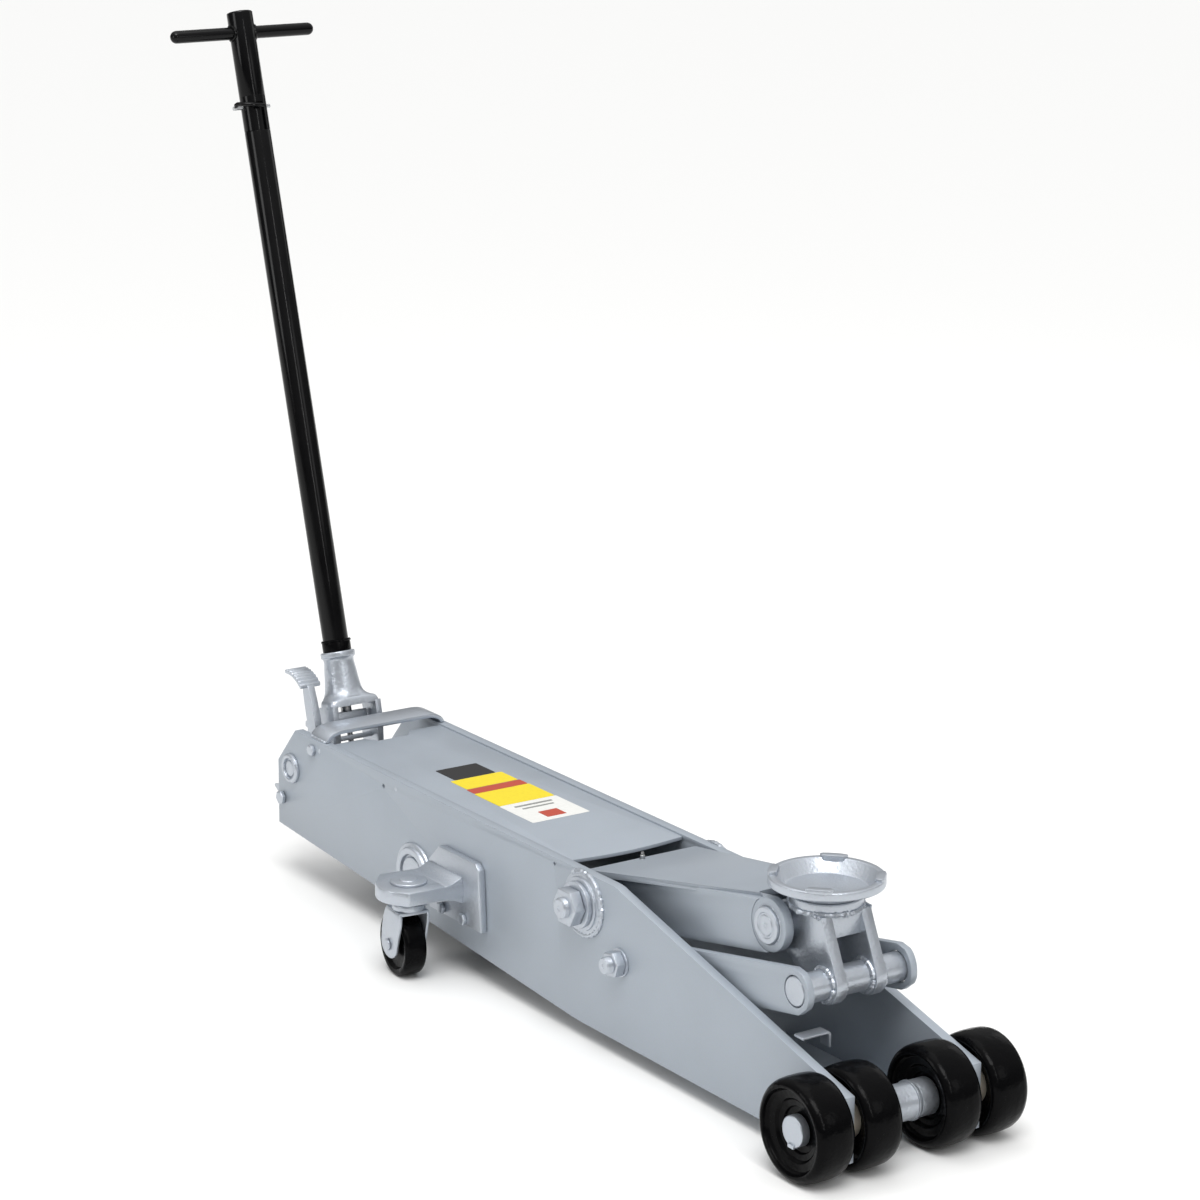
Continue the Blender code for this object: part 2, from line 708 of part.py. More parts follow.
SADDLE_AXIS = pivot("axis_saddle", (SADDLE_X, 0, SADDLE_TOP_Z))
neck_top = NECK_Z + 0.018
saddle_profile = [
    (0.0760, SADDLE_TOP_Z),
    (SADDLE_R, SADDLE_TOP_Z - 0.001),
    (SADDLE_R, SADDLE_TOP_Z - 0.011),
    (0.0780, SADDLE_TOP_Z - 0.016),
    (0.0520, neck_top + 0.004),
    (0.0500, neck_top + GAP),
    (0.0195, neck_top + GAP),
    (0.0195, 0.3345),
    (0, 0.3345),
]
dish = [(0, SADDLE_TOP_Z - 0.020), (0.056, SADDLE_TOP_Z - 0.020)]
saddle_mesh_profile = [*dish, *saddle_profile]
saddle = turned("saddle", "casting", saddle_mesh_profile, (SADDLE_X, 0, 0), "Z", 32)
lugs = []
for quarter in range(4):
    turn = math.pi / 4 + quarter * math.pi / 2
    lug = box(
        f"saddle_lug_{quarter}",
        None,
        (0.0745, -0.016, SADDLE_TOP_Z - 0.006),
        (0.0845, 0.016, SADDLE_TOP_Z + 0.004),
        (0, 0, turn),
        (SADDLE_X, 0, 0),
    )
    lugs.append(lug)
join(saddle, *lugs)
hang(SADDLE_AXIS, saddle)

# --- Hydraulic power unit ----------------------------------------------------------------------

BORE_REAR = AXLE_X - 1.060
cylinder_profile = [
    (PISTON_R + 0.0005, CYLINDER_FRONT - 0.012),
    (CYLINDER_R, CYLINDER_FRONT - 0.012),
    (CYLINDER_R, CYLINDER_REAR),
    (0, CYLINDER_REAR),
]
bore_profile = [(0, BORE_REAR), (PISTON_R + 0.0005, BORE_REAR)]
cylinder = turned(
    "hydraulic_cylinder", "casting", [*bore_profile, *cylinder_profile], (0, 0, RAM_Z), "X"
)


def trunnion_boss(side, word):
    low, high = span(side, 0.021, 0.085)
    return rod("trunnion_boss_" + word, None, 0.0307, low, high, TRUNNION, "Y", 20)


def trunnion_bore(side, word):
    low, high = span(side, 0.063, 0.100)
    return rod("trunnion_bore_" + word, None, TRUNNION_R + 2 * GAP, low, high, TRUNNION)


join(cylinder, *both_sides(trunnion_boss))
cut(cylinder, *both_sides(trunnion_bore))

tube(
    "cylinder_gland",
    "steel",
    CYLINDER_R - 0.002,
    RAM_ROD_R + 0.0004,
    CYLINDER_FRONT - 0.012 + GAP,
    CYLINDER_FRONT,
    (0, 0, RAM_Z),
    "X",
)
tube(
    "oil_tank",
    "casting",
    0.068,
    CYLINDER_R + 2 * GAP,
    CYLINDER_REAR + 0.004,
    AXLE_X - 1.165,
    (0, 0, RAM_Z),
    "X",
)

pump_block = box(
    "pump_block",
    "casting",
    (PUMP_BLOCK_REAR, -0.055, 0.100),
    (CYLINDER_REAR - GAP, 0.055, 0.222),
)
RELEASE_Z = HANDLE_PIVOT.z
PLUNGER_R = 0.010
BARREL_END = PUMP_BLOCK_REAR - 0.012
pump_barrel = rod("pump_barrel", None, 0.017, BARREL_END, PUMP_BLOCK_REAR + 0.005, (0, 0, PUMP_Z), "X")
pump_bore = rod(
    "pump_bore", None, PLUNGER_R + 2 * GAP, BARREL_END - 0.01, PUMP_BLOCK_REAR + 0.075, (0, 0, PUMP_Z), "X"
)
valve_bore = rod(
    "valve_bore", None, 0.0066, PUMP_BLOCK_REAR - 0.01, PUMP_BLOCK_REAR + 0.030, (0, 0, RELEASE_Z), "X", 12
)
join(pump_block, pump_barrel)
cut(pump_block, pump_bore, valve_bore)

PLUNGER_AXIS = pivot("axis_pump_plunger", (PUMP_HEAD_X, 0, PUMP_Z))
plunger_profile = [
    (0, BARREL_END + 0.045),
    (PLUNGER_R, BARREL_END + 0.045),
    (PLUNGER_R, PUMP_HEAD_X + 0.006),
    (0.024, PUMP_HEAD_X + 0.006),
    (0.024, PUMP_HEAD_X),
    (0, PUMP_HEAD_X),
]
plunger = turned("pump_plunger", "steel", plunger_profile, (0, 0, PUMP_Z), "X", 20)
hang(PLUNGER_AXIS, plunger)


def coil(name, radius, wire, start, end, turns, centre, along, points=10):
    """A helical spring as a bevelled wire. The helix runs along local Z between start and end."""
    curve = bpy.data.curves.new(name, "CURVE")
    curve.dimensions = "3D"
    curve.bevel_depth = wire
    curve.bevel_resolution = 2
    curve.use_fill_caps = True
    spline = curve.splines.new("POLY")
    count = int(turns * points)
    spline.points.add(count)
    for i, point in enumerate(spline.points):
        angle = 2 * math.pi * i / points
        height = start + (end - start) * i / count
        point.co = (radius * math.cos(angle), radius * math.sin(angle), height, 1)
    return solid_of(curve, name, "spring", centre, ALONG[along])


coil(
    "pump_spring",
    0.0145,
    0.0014,
    PUMP_HEAD_X + 0.0080,
    BARREL_END - 0.0020,
    4,
    (0, 0, PUMP_Z),
    "X",
    8,
)

# Ram: piston, rod and a slotted head that pushes the horn pin.
RAM_AXIS = pivot("axis_ram", (HORN_PIN.x, 0, RAM_Z))
HEAD_HALF = 0.0315
ram_profile = [
    (0, HORN_PIN.x - HEAD_HALF + 0.004),
    (RAM_ROD_R, HORN_PIN.x - HEAD_HALF + 0.004),
    (RAM_ROD_R, AXLE_X - 0.905),
    (PISTON_R, AXLE_X - 0.905),
    (PISTON_R, AXLE_X - 0.935),
    (0, AXLE_X - 0.935),
]
ram = turned("ram", "steel", ram_profile, (0, 0, RAM_Z), "X")
ram_head = box(
    "ram_head",
    None,
    (HORN_PIN.x - HEAD_HALF, -HORN_IN + 0.0015, 0.097),
    (HORN_PIN.x + HEAD_HALF, HORN_IN - 0.0015, 0.175),
)
slot_half = HORN_PIN_R + 0.0038
ram_slot = box(
    "ram_slot",
    None,
    (HORN_PIN.x - slot_half + 0.001, -0.05, 0.1075),
    (HORN_PIN.x + slot_half + 0.001, 0.05, 0.1645),
)
join(ram, ram_head)
cut(ram, ram_slot)
hang(RAM_AXIS, ram)


def return_spring(side, word):
    centre = (0, side * 0.0665, 0.1300)
    start = TRUNNION.x + 0.036
    end = HORN_PIN.x - HORN_PIN_R - 0.004
    return coil("return_spring_" + word, 0.0075, 0.0014, start, end, 12, centre, "X", 6)


both_sides(return_spring)

# --- Handle socket, release gear and handle ----------------------------------------------------

SOCKET_AXIS = pivot("axis_handle_tilt", HANDLE_PIVOT)
LEAN = (0, -HANDLE_LEAN, 0)


def lean_box(name, low, high):
    """A block in the handle's frame: X forward, Z up the handle, from the tilt axis."""
    return box(name, None, low, high, LEAN, HANDLE_PIVOT)


SOCKET_FLOOR = YOKE_TOP + 0.0015
socket_profile = [
    (0, SOCKET_FLOOR),
    (HANDLE_R + 0.0004, SOCKET_FLOOR),
    (HANDLE_R + 0.0004, COLLAR_TOP),
    (0.030, COLLAR_TOP),
    (0.030, COLLAR_TOP - 0.010),
    (0.0262, COLLAR_TOP - 0.014),
    (0.0280, YOKE_TOP + 0.030),
    (0.0300, YOKE_TOP + 0.010),
    (0.0335, YOKE_TOP - 0.002),
    (0.0335, YOKE_TOP - 0.008),
    (0, YOKE_TOP - 0.008),
]
socket = turned("handle_socket", "casting", socket_profile, HANDLE_PIVOT, LEAN)
shoulder = [*arc((YOKE_HALF - 0.010, YOKE_TOP - 0.010), 0.010, 0, 75, 4), (0.0305, YOKE_TOP + 0.0005)]
yoke_outline = [(-YOKE_HALF, YOKE_LOW), (YOKE_HALF, YOKE_LOW), *shoulder, *[(-y, t) for y, t in reversed(shoulder)]]
yoke_head = plate("yoke_head", None, [yoke_outline], 0, 0.048)
yoke_head.location = HANDLE_PIVOT + Vector((0.016 * math.cos(HANDLE_LEAN), 0, 0.016 * math.sin(HANDLE_LEAN)))
yoke_turn = Matrix.Rotation(-HANDLE_LEAN, 3, "Y") @ Matrix.Rotation(math.pi / 2, 3, "Z")
yoke_head.rotation_euler = (yoke_turn @ Matrix.Rotation(math.pi / 2, 3, "X")).to_euler()
yoke_bore = rod("yoke_bore", None, 0.0104, YOKE_LOW - 0.01, YOKE_TOP + 0.01, HANDLE_PIVOT, LEAN)


def yoke_ear(side, word):
    """One ear of the yoke, with a tongue below the pivot that carries the cam pin."""
    hub = arc((0, 0), 0.025, 0, -50, 3)
    tongue = arc((0, -CAM_DROP), 0.0145, 0, -180, 6)
    back = arc((0, 0), 0.025, -130, -180, 3)
    outline = [(0.0399, YOKE_LOW + 0.004), (0.038, 0.060), *hub, *tongue, *back, (-0.022, 0.045), (-0.0079, YOKE_LOW + 0.004)]
    bore = circle((0, 0), STUB_R + 2 * GAP)
    ear = plate("yoke_ear_" + word, None, [outline, bore], 0, EAR_WALL)
    ear.location = HANDLE_PIVOT + Vector((0, side * (YOKE_HALF - EAR_WALL / 2), 0))
    ear.rotation_euler = (math.pi / 2, -HANDLE_LEAN, 0)
    ear.rotation_mode = "XYZ"
    return ear


ears = both_sides(yoke_ear)
cam_offset = Vector((CAM_DROP * math.sin(HANDLE_LEAN), 0, -CAM_DROP * math.cos(HANDLE_LEAN)))
cam_pin = rod("cam_pin", None, CAM_R, -YOKE_HALF + 0.002, YOKE_HALF - 0.002, HANDLE_PIVOT + cam_offset)
guide_bar = lean_box("guide_bar", (-0.010, -YOKE_HALF + 0.004, 0.030), (0.010, YOKE_HALF - 0.004, 0.038))
guide_bore = rod("guide_bore", None, 0.0056, 0.026, 0.042, HANDLE_PIVOT, LEAN, 12)
join(socket, yoke_head, *ears, cam_pin, guide_bar)
cut(socket, yoke_bore, guide_bore)
hang(SOCKET_AXIS, socket)

HANDLE_AXIS = pivot("axis_handle_twist", HANDLE_PIVOT)
cam_stem = rod("release_cam", "steel", 0.0096, 0.062, YOKE_TOP + 0.0012, HANDLE_PIVOT, LEAN, 16)
cam_block = lean_box("cam_block", (-0.019, -0.024, 0.0545), (0.019, 0.024, 0.0765))
cam_groove = bpy.data.meshes.new("cam_groove")
groove_bm = bmesh.new()
groove_turn = Matrix.Translation((0, 0, 0.0540)) @ Matrix.Rotation(math.pi / 4, 4, "X")
bmesh.ops.create_cube(groove_bm, size=0.012, matrix=groove_turn)
bmesh.ops.scale(groove_bm, vec=(6, 1, 1), verts=groove_bm.verts)
groove_bm.to_mesh(cam_groove)
groove_bm.free()
groove = place("cam_groove", cam_groove, None, HANDLE_PIVOT, LEAN)
join(cam_stem, cam_block)
cut(cam_stem, groove)
push_pin = rod("release_push_pin", "steel", 0.005, 0.0195, 0.0540, HANDLE_PIVOT, LEAN, 12)

SPIGOT_R = 0.0190
SPIGOT_TOP = HANDLE_JOINT + 0.070
TUBE_IN = 0.0160
lower_profile = [
    (SPIGOT_R, SPIGOT_TOP),
    (SPIGOT_R, HANDLE_JOINT),
    (HANDLE_R, HANDLE_JOINT),
    (HANDLE_R, COLLAR_TOP + 0.021),
    (0.0240, COLLAR_TOP + 0.020),
    (0.0240, COLLAR_TOP + GAP),
    (HANDLE_R, COLLAR_TOP + GAP),
    (HANDLE_R, YOKE_TOP + 0.002),
    (TUBE_IN, YOKE_TOP + 0.002),
    (TUBE_IN, SPIGOT_TOP),
]
lower_tube = turned("handle_lower_tube", "gloss_black", lower_profile, HANDLE_PIVOT, LEAN, ring=True)
upper_profile = [
    (0, HANDLE_TOP),
    (HANDLE_R - 0.002, HANDLE_TOP),
    (HANDLE_R, HANDLE_TOP - 0.002),
    (HANDLE_R, HANDLE_JOINT + GAP),
    (SPIGOT_R + 0.0005, HANDLE_JOINT + GAP),
    (SPIGOT_R + 0.0005, HANDLE_TOP - 0.006),
    (0, HANDLE_TOP - 0.006),
]
upper_tube = turned("handle_upper_tube", "gloss_black", upper_profile, HANDLE_PIVOT, LEAN)
T_BAR = HANDLE_PIVOT + Vector((-math.sin(HANDLE_LEAN), 0, math.cos(HANDLE_LEAN))) * T_BAR_AT
bar_hole = rod("t_bar_hole", None, T_BAR_R + 2 * GAP, -0.05, 0.05, T_BAR)
LOCK_AT = HANDLE_JOINT + 0.042
LOCK_PIN_R = 0.0040
lock_centre = HANDLE_PIVOT + Vector((-math.sin(HANDLE_LEAN), 0, math.cos(HANDLE_LEAN))) * LOCK_AT
lock_hole = rod("lock_hole", None, LOCK_PIN_R + 2 * GAP, -0.05, 0.05, lock_centre, "Y", 12)
lock_hole_low = rod("lock_hole_low", None, LOCK_PIN_R + 2 * GAP, -0.05, 0.05, lock_centre, "Y", 12)
entry = lean_box(
    "bayonet_entry",
    (-LOCK_PIN_R - 2 * GAP, 0, HANDLE_JOINT - 0.01),
    (LOCK_PIN_R + 2 * GAP, 0.05, LOCK_AT),
)
cut(upper_tube, bar_hole, lock_hole, entry)
cut(lower_tube, lock_hole_low)

half_bar = T_BAR_LENGTH / 2
bar_end = [(T_BAR_R * math.sin(math.radians(a)), half_bar - T_BAR_R + T_BAR_R * math.cos(math.radians(a))) for a in (0, 30, 60, 90)]
bar_profile = [*bar_end, *[(radius, -height) for radius, height in reversed(bar_end)]]
t_bar = turned("t_bar", "gloss_black", bar_profile, T_BAR, "Y", 16)

LOCK_AXIS = pivot("axis_lock_pin", lock_centre)
lock_profile = [
    (0, 0.031),
    (LOCK_PIN_R, 0.031),
    (LOCK_PIN_R, -HANDLE_R - GAP),
    (0.0065, -HANDLE_R - GAP),
    (0.0065, -0.0310),
    (0, -0.0310),
]
lock_pin = turned("handle_lock_pin", "steel", lock_profile, lock_centre, "Y", 12)
hang(LOCK_AXIS, lock_pin)
hang(HANDLE_AXIS, lower_tube, upper_tube, t_bar, cam_stem)
hang(SOCKET_AXIS, push_pin)

RELEASE_AXIS = pivot("axis_release_rod", HANDLE_PIVOT)
ball = [(0.0165 * math.sin(math.radians(a)), -0.0165 * math.cos(math.radians(a))) for a in (154, 130, 100, 70, 40, 20, 0)]
rod_end = PUMP_BLOCK_REAR + 0.020 - HANDLE_PIVOT.x
release_profile = [(0, rod_end), (0.0060, rod_end), (0.0060, 0.0158), *ball[1:-1], (0, -0.0165)]
hang(RELEASE_AXIS, turned("release_rod", "steel", release_profile, HANDLE_PIVOT, "X", 16))

# --- Foot pedal --------------------------------------------------------------------------------

PEDAL_AXIS = pivot("axis_foot_pedal", HANDLE_PIVOT)
PEDAL_IN = 0.0520
PEDAL_OUT = 0.0910
px, pz = HANDLE_PIVOT.x, HANDLE_PIVOT.z
stem_outline = [
    *arc((px, pz), 0.0245, 200, 360, 8),
    (px + 0.006, pz + 0.060),
    (px - 0.012, pz + 0.100),
    (px - 0.024, pz + 0.138),
    (px - 0.046, pz + 0.147),
    (px - 0.040, pz + 0.110),
    (px - 0.030, pz + 0.065),
]
stem_bore = circle((px, pz), STUB_R + 2 * GAP)
pedal = plate("foot_pedal", "casting", [stem_outline, stem_bore], -0.0715, 0.014)
pad_top = arc((px - 0.0676, pz + 0.0843), 0.0700, 98, 47, 8)
pad_under = arc((px - 0.0676, pz + 0.0843), 0.0630, 47, 98, 8)
pad = plate("pedal_pad", None, [[*pad_top, *pad_under]], -(PEDAL_IN + PEDAL_OUT) / 2, PEDAL_OUT - PEDAL_IN)
pedal_hub = rod("pedal_hub", None, 0.0240, -PEDAL_OUT, -PEDAL_IN, HANDLE_PIVOT)
hub_bore = rod("pedal_bore", None, STUB_R + 2 * GAP, -0.12, -0.04, HANDLE_PIVOT)
join(pedal, pad, pedal_hub)
cut(pedal, hub_bore)
hang(PEDAL_AXIS, pedal)
coil("pedal_spring", 0.0185, 0.0014, -0.1050, -0.0935, 4, HANDLE_PIVOT, "Y", 12)

# --- Rear casters ------------------------------------------------------------------------------


def caster(side, word):
    """Bracket, kingpin, fork, axle and wheel of one caster."""
    post = Vector((CASTER_X, side * CASTER_Y, 0))
    low, high = span(side, PLATE_OUT + GAP, PLATE_OUT + 0.0125)
    flange_outline = [
        (CASTER_X - 0.050, 0.093),
        (CASTER_X + 0.108, 0.093),
        (CASTER_X + 0.101, 0.196),
        (CASTER_X + 0.090, 0.206),
        (CASTER_X - 0.019, 0.206),
        (CASTER_X - 0.050, 0.176),
    ]
    bracket = plate("caster_bracket_" + word, "casting", [flange_outline], (low + high) / 2, high - low)
    bore = circle((0, 0), 0.0155 + 2 * GAP)
    end = arc((0, 0), 0.054, -125, -55, 6)
    outline = [(-0.060, -0.020), *end, (0.050, -0.030), (0.056, CASTER_Y - PLATE_OUT - 0.011), (-0.0485, CASTER_Y - PLATE_OUT - 0.011)]
    outline = [(x, -side * y) for x, y in outline]
    arm_curve = bpy.data.curves.new("caster_arm_" + word, "CURVE")
    arm_curve.dimensions = "2D"
    arm_curve.fill_mode = "BOTH"
    arm_curve.extrude = (ARM_TOP_Z - ARM_BOTTOM_Z) / 2
    for points in (outline, bore):
        spline = arm_curve.splines.new("POLY")
        spline.points.add(len(points) - 1)
        for point, (x, y) in zip(spline.points, points):
            point.co = (x, y, 0, 1)
        spline.use_cyclic_u = True
    arm_middle = post + Vector((0, 0, (ARM_TOP_Z + ARM_BOTTOM_Z) / 2))
    arm = solid_of(arm_curve, "caster_arm_" + word, None, arm_middle)
    join(bracket, arm)

    kingpin = [
        (0, ARM_TOP_Z + 0.006),
        (0.014, ARM_TOP_Z + 0.006),
        (0.016, ARM_TOP_Z + 0.004),
        (0.0300, ARM_TOP_Z + 0.004),
        (0.0300, ARM_TOP_Z + GAP),
        (0.0155, ARM_TOP_Z + GAP),
        (0.0155, ARM_BOTTOM_Z - 0.001),
        (0.0100, ARM_BOTTOM_Z - 0.001),
        (0.0100, FORK_TOP_Z - 0.0055),
        (0, FORK_TOP_Z - 0.0055),
    ]
    turned("caster_kingpin_" + word, "casting", kingpin, post, "Z")

    swivel = pivot("axis_caster_swivel_" + word, post)
    swivel.rotation_euler = (0, 0, CASTER_TURN)
    inner = CASTER_W / 2 + 0.0025
    outer = inner + 0.005
    axle_z = CASTER_R

    def leg(at, name, kind):
        foot = arc((-CASTER_TRAIL, axle_z), 0.0245, 180, 360, 10)
        shape = [*foot, (0.024, FORK_TOP_Z - 0.016), (0.022, FORK_TOP_Z), (-0.030, FORK_TOP_Z), (-0.032, FORK_TOP_Z - 0.016)]
        hole = circle((-CASTER_TRAIL, axle_z), 0.006 + 2 * GAP, 12)
        return plate(name, kind, [shape, hole], at * (inner + outer) / 2, 0.005)

    fork = leg(-1, "caster_fork_" + word, "paint")
    other_leg = leg(1, "fork_leg_" + word, None)
    crown_low = (-0.028, -outer + 0.001, FORK_TOP_Z - 0.0062)
    crown_high = (0.020, outer - 0.001, FORK_TOP_Z - 0.0005)
    crown = box("fork_crown_" + word, None, crown_low, crown_high)
    race = rod("fork_race_" + word, None, 0.026, FORK_TOP_Z - 0.003, ARM_BOTTOM_Z - 2 * GAP, (0, 0, 0), "Z")
    seat_z = ARM_BOTTOM_Z - 0.0020
    bore_top = ARM_BOTTOM_Z + 0.020
    bore_end = FORK_TOP_Z - 0.020
    stepped = [(0, bore_top), (0.0162, bore_top), (0.0162, seat_z), (0.0106, seat_z), (0.0106, bore_end), (0, bore_end)]
    race_bore = turned("fork_bore_" + word, None, stepped, (0, 0, 0), "Z")
    join(fork, other_leg, crown, race)
    cut(fork, race_bore)

    axle_profile = [(0, outer + 0.004), (0.0095, outer + 0.004), (0.0095, outer + GAP), (0.006, outer + GAP)]
    axle_profile += [(radius, -height) for radius, height in reversed(axle_profile)]
    at_axle = (-CASTER_TRAIL, 0, axle_z)
    axle = turned("caster_axle_" + word, "plated", axle_profile, at_axle, "Y", 12)
    half_w = CASTER_W / 2
    rim = [(0.0500, half_w), (CASTER_R, half_w - 0.004)]
    face = [(0.006 + 2 * GAP, half_w), (0.016, half_w), (0.018, half_w - 0.006), (0.040, half_w - 0.006), (0.043, half_w)]
    profile = [*rim, *[(r, -h) for r, h in reversed(rim)], *[(r, -h) for r, h in reversed(face)], *face]
    wheel = turned("caster_wheel_" + word, "gloss_black", profile, at_axle, "Y", 20, ring=True)
    for piece in (fork, other_leg, crown, race, race_bore, axle, wheel):
        piece.parent = swivel


both_sides(caster)

for piece in PARTS.objects:
    if piece.type == "MESH" and piece.data.polygons:
        smooth(piece)
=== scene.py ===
import json
import math

import bmesh
import bpy
from mathutils import Matrix, Vector, noise


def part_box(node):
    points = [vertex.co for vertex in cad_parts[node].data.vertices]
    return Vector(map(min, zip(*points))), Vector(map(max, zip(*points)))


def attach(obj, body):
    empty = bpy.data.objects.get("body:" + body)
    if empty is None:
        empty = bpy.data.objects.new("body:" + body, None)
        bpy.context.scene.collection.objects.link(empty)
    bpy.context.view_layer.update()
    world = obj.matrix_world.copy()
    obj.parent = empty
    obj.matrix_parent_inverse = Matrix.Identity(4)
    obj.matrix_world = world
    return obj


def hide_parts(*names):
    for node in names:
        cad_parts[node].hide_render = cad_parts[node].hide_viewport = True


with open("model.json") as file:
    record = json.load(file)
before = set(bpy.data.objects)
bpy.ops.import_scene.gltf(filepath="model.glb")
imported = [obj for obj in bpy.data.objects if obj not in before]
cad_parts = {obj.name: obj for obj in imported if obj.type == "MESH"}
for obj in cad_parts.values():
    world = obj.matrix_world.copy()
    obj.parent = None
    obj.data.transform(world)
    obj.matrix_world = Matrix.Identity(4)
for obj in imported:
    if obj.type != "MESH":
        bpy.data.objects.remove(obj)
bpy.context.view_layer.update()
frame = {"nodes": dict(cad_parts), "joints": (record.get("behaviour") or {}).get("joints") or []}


# --- Studio ---
# A pale matt sweep in a white surround, lit by one diffused key lamp and five soft boxes. The camera
# stands ahead of the jack on its right side with a long lens, a little above the saddle.
PIVOT = {joint["name"]: Vector(joint["pos_m"]) for joint in frame["joints"] if joint.get("pos_m")}
AXLE = PIVOT["front_wheel_inner_right_spin"]
CAMERA_FROM_AXLE = Vector((3.9029, -3.1937, 2.0835))
CAMERA_TURN = math.radians(34.435)
CAMERA_DIP = math.radians(14.924)
CAMERA_TILT = math.radians(0.406)
CAMERA_LENS = 112.892
FILM_WIDTH = 36
FARTHEST_SEEN = 60


def linear(hex_colour, alpha=1):
    """A hex sRGB colour as the linear values that shaders use."""
    parts = [int(hex_colour[i : i + 2], 16) / 255 for i in (1, 3, 5)]
    return (*[c / 12.92 if c < 0.04045 else ((c + 0.055) / 1.055) ** 2.4 for c in parts], alpha)


def node(tree, kind, inputs=None, **settings):
    """Adds a node, sets it up and feeds its sockets from values or from other sockets."""
    made = tree.nodes.new(kind)
    for key, value in settings.items():
        setattr(made, key, value)
    for socket, value in (inputs or {}).items():
        if isinstance(value, bpy.types.NodeSocket):
            tree.links.new(value, made.inputs[socket])
        else:
            made.inputs[socket].default_value = value
    return made


camera_data = bpy.data.cameras.new("camera")
camera_data.lens = CAMERA_LENS
camera_data.sensor_width = FILM_WIDTH
camera_data.clip_end = FARTHEST_SEEN
camera = bpy.data.objects.new("camera", camera_data)
bpy.context.scene.collection.objects.link(camera)
level_reach = math.cos(CAMERA_DIP)
ahead = Vector(
    (-math.cos(CAMERA_TURN) * level_reach, math.sin(CAMERA_TURN) * level_reach, -math.sin(CAMERA_DIP))
)
level_right = ahead.cross(Vector((0, 0, 1))).normalized()
aim = Matrix((level_right, level_right.cross(ahead), -ahead)).transposed().to_4x4()
camera.matrix_world = Matrix.Translation(AXLE + CAMERA_FROM_AXLE) @ aim @ Matrix.Rotation(CAMERA_TILT, 4, "Z")
bpy.context.scene.camera = camera

floor_bm = bmesh.new()
bmesh.ops.create_grid(floor_bm, x_segments=1, y_segments=1, size=30)
floor_mesh = bpy.data.meshes.new("studio_floor")
floor_bm.to_mesh(floor_mesh)
floor_bm.free()
studio_floor = bpy.data.objects.new("studio_floor", floor_mesh)
bpy.context.scene.collection.objects.link(studio_floor)
sweep_paint = bpy.data.materials.new("matt_sweep_paint")
sweep_paint.use_nodes = True
sweep_shader = sweep_paint.node_tree.nodes["Principled BSDF"]
sweep_shader.inputs["Base Color"].default_value = linear("#F4F4F3")
sweep_shader.inputs["Roughness"].default_value = 0.9
floor_mesh.materials.append(sweep_paint)

world = bpy.data.worlds.new("white_surround")
world.use_nodes = True
world_tree = world.node_tree
skyward = node(
    world_tree, "ShaderNodeSeparateXYZ",
    {0: node(world_tree, "ShaderNodeTexCoord").outputs["Generated"]},
)
sky_range = {"Value": skyward.outputs["Z"], "From Min": 0.0, "From Max": 1.0, "To Min": 0.06, "To Max": 1.02}
sky_glow = node(world_tree, "ShaderNodeMapRange", sky_range)
world_tree.nodes["Background"].inputs["Color"].default_value = (1.0, 1.0, 1.0, 1)
straight_view = node(world_tree, "ShaderNodeLightPath").outputs["Is Camera Ray"]
surround = node(
    world_tree, "ShaderNodeMath", {0: sky_glow.outputs["Result"], 1: straight_view},
    operation="MAXIMUM",
)
world_tree.links.new(surround.outputs["Value"], world_tree.nodes["Background"].inputs["Strength"])
bpy.context.scene.world = world
bpy.context.scene.view_settings.view_transform = "Standard"
SOFT_BOXES = (
    ("overhead_box", (-0.3, -0.4, 4.2), 3.2, 3.2, 30),
    ("right_box", (-0.75, -4.2, 2.1), 1.3, 1.7, 26),
    ("front_box", (4.6, 1.6, 2.4), 1.6, 1.6, 10),
    ("left_box", (-1.0, 4.2, 2.6), 2.0, 2.0, 8),
    ("strip_box", (3.6, -0.60, 2.4), 0.14, 2.6, 16),
)
KEY_POWER = 1.35
KEY_SPREAD = math.radians(28)
KEY_TOWARDS = Vector((-0.42, 0.30, -1.0))
key_lamp = bpy.data.lights.new("diffused_key", "SUN")
key_lamp.energy = KEY_POWER
key_lamp.angle = KEY_SPREAD
key_light = bpy.data.objects.new("diffused_key", key_lamp)
key_light.rotation_euler = KEY_TOWARDS.to_track_quat("-Z", "Y").to_euler()
bpy.context.scene.collection.objects.link(key_light)
for box_name, box_at, box_width, box_height, box_power in SOFT_BOXES:
    lamp = bpy.data.lights.new(box_name, "AREA")
    lamp.shape = "RECTANGLE"
    lamp.size = box_width
    lamp.size_y = box_height
    lamp.energy = box_power
    soft_box = bpy.data.objects.new(box_name, lamp)
    soft_box.location = box_at
    aim_at = Vector((-0.75, 0, 0.9)) if box_name == "strip_box" else Vector((0, 0, 0.4))
    soft_box.rotation_euler = (aim_at - Vector(box_at)).to_track_quat("-Z", "Y").to_euler()
    bpy.context.scene.collection.objects.link(soft_box)


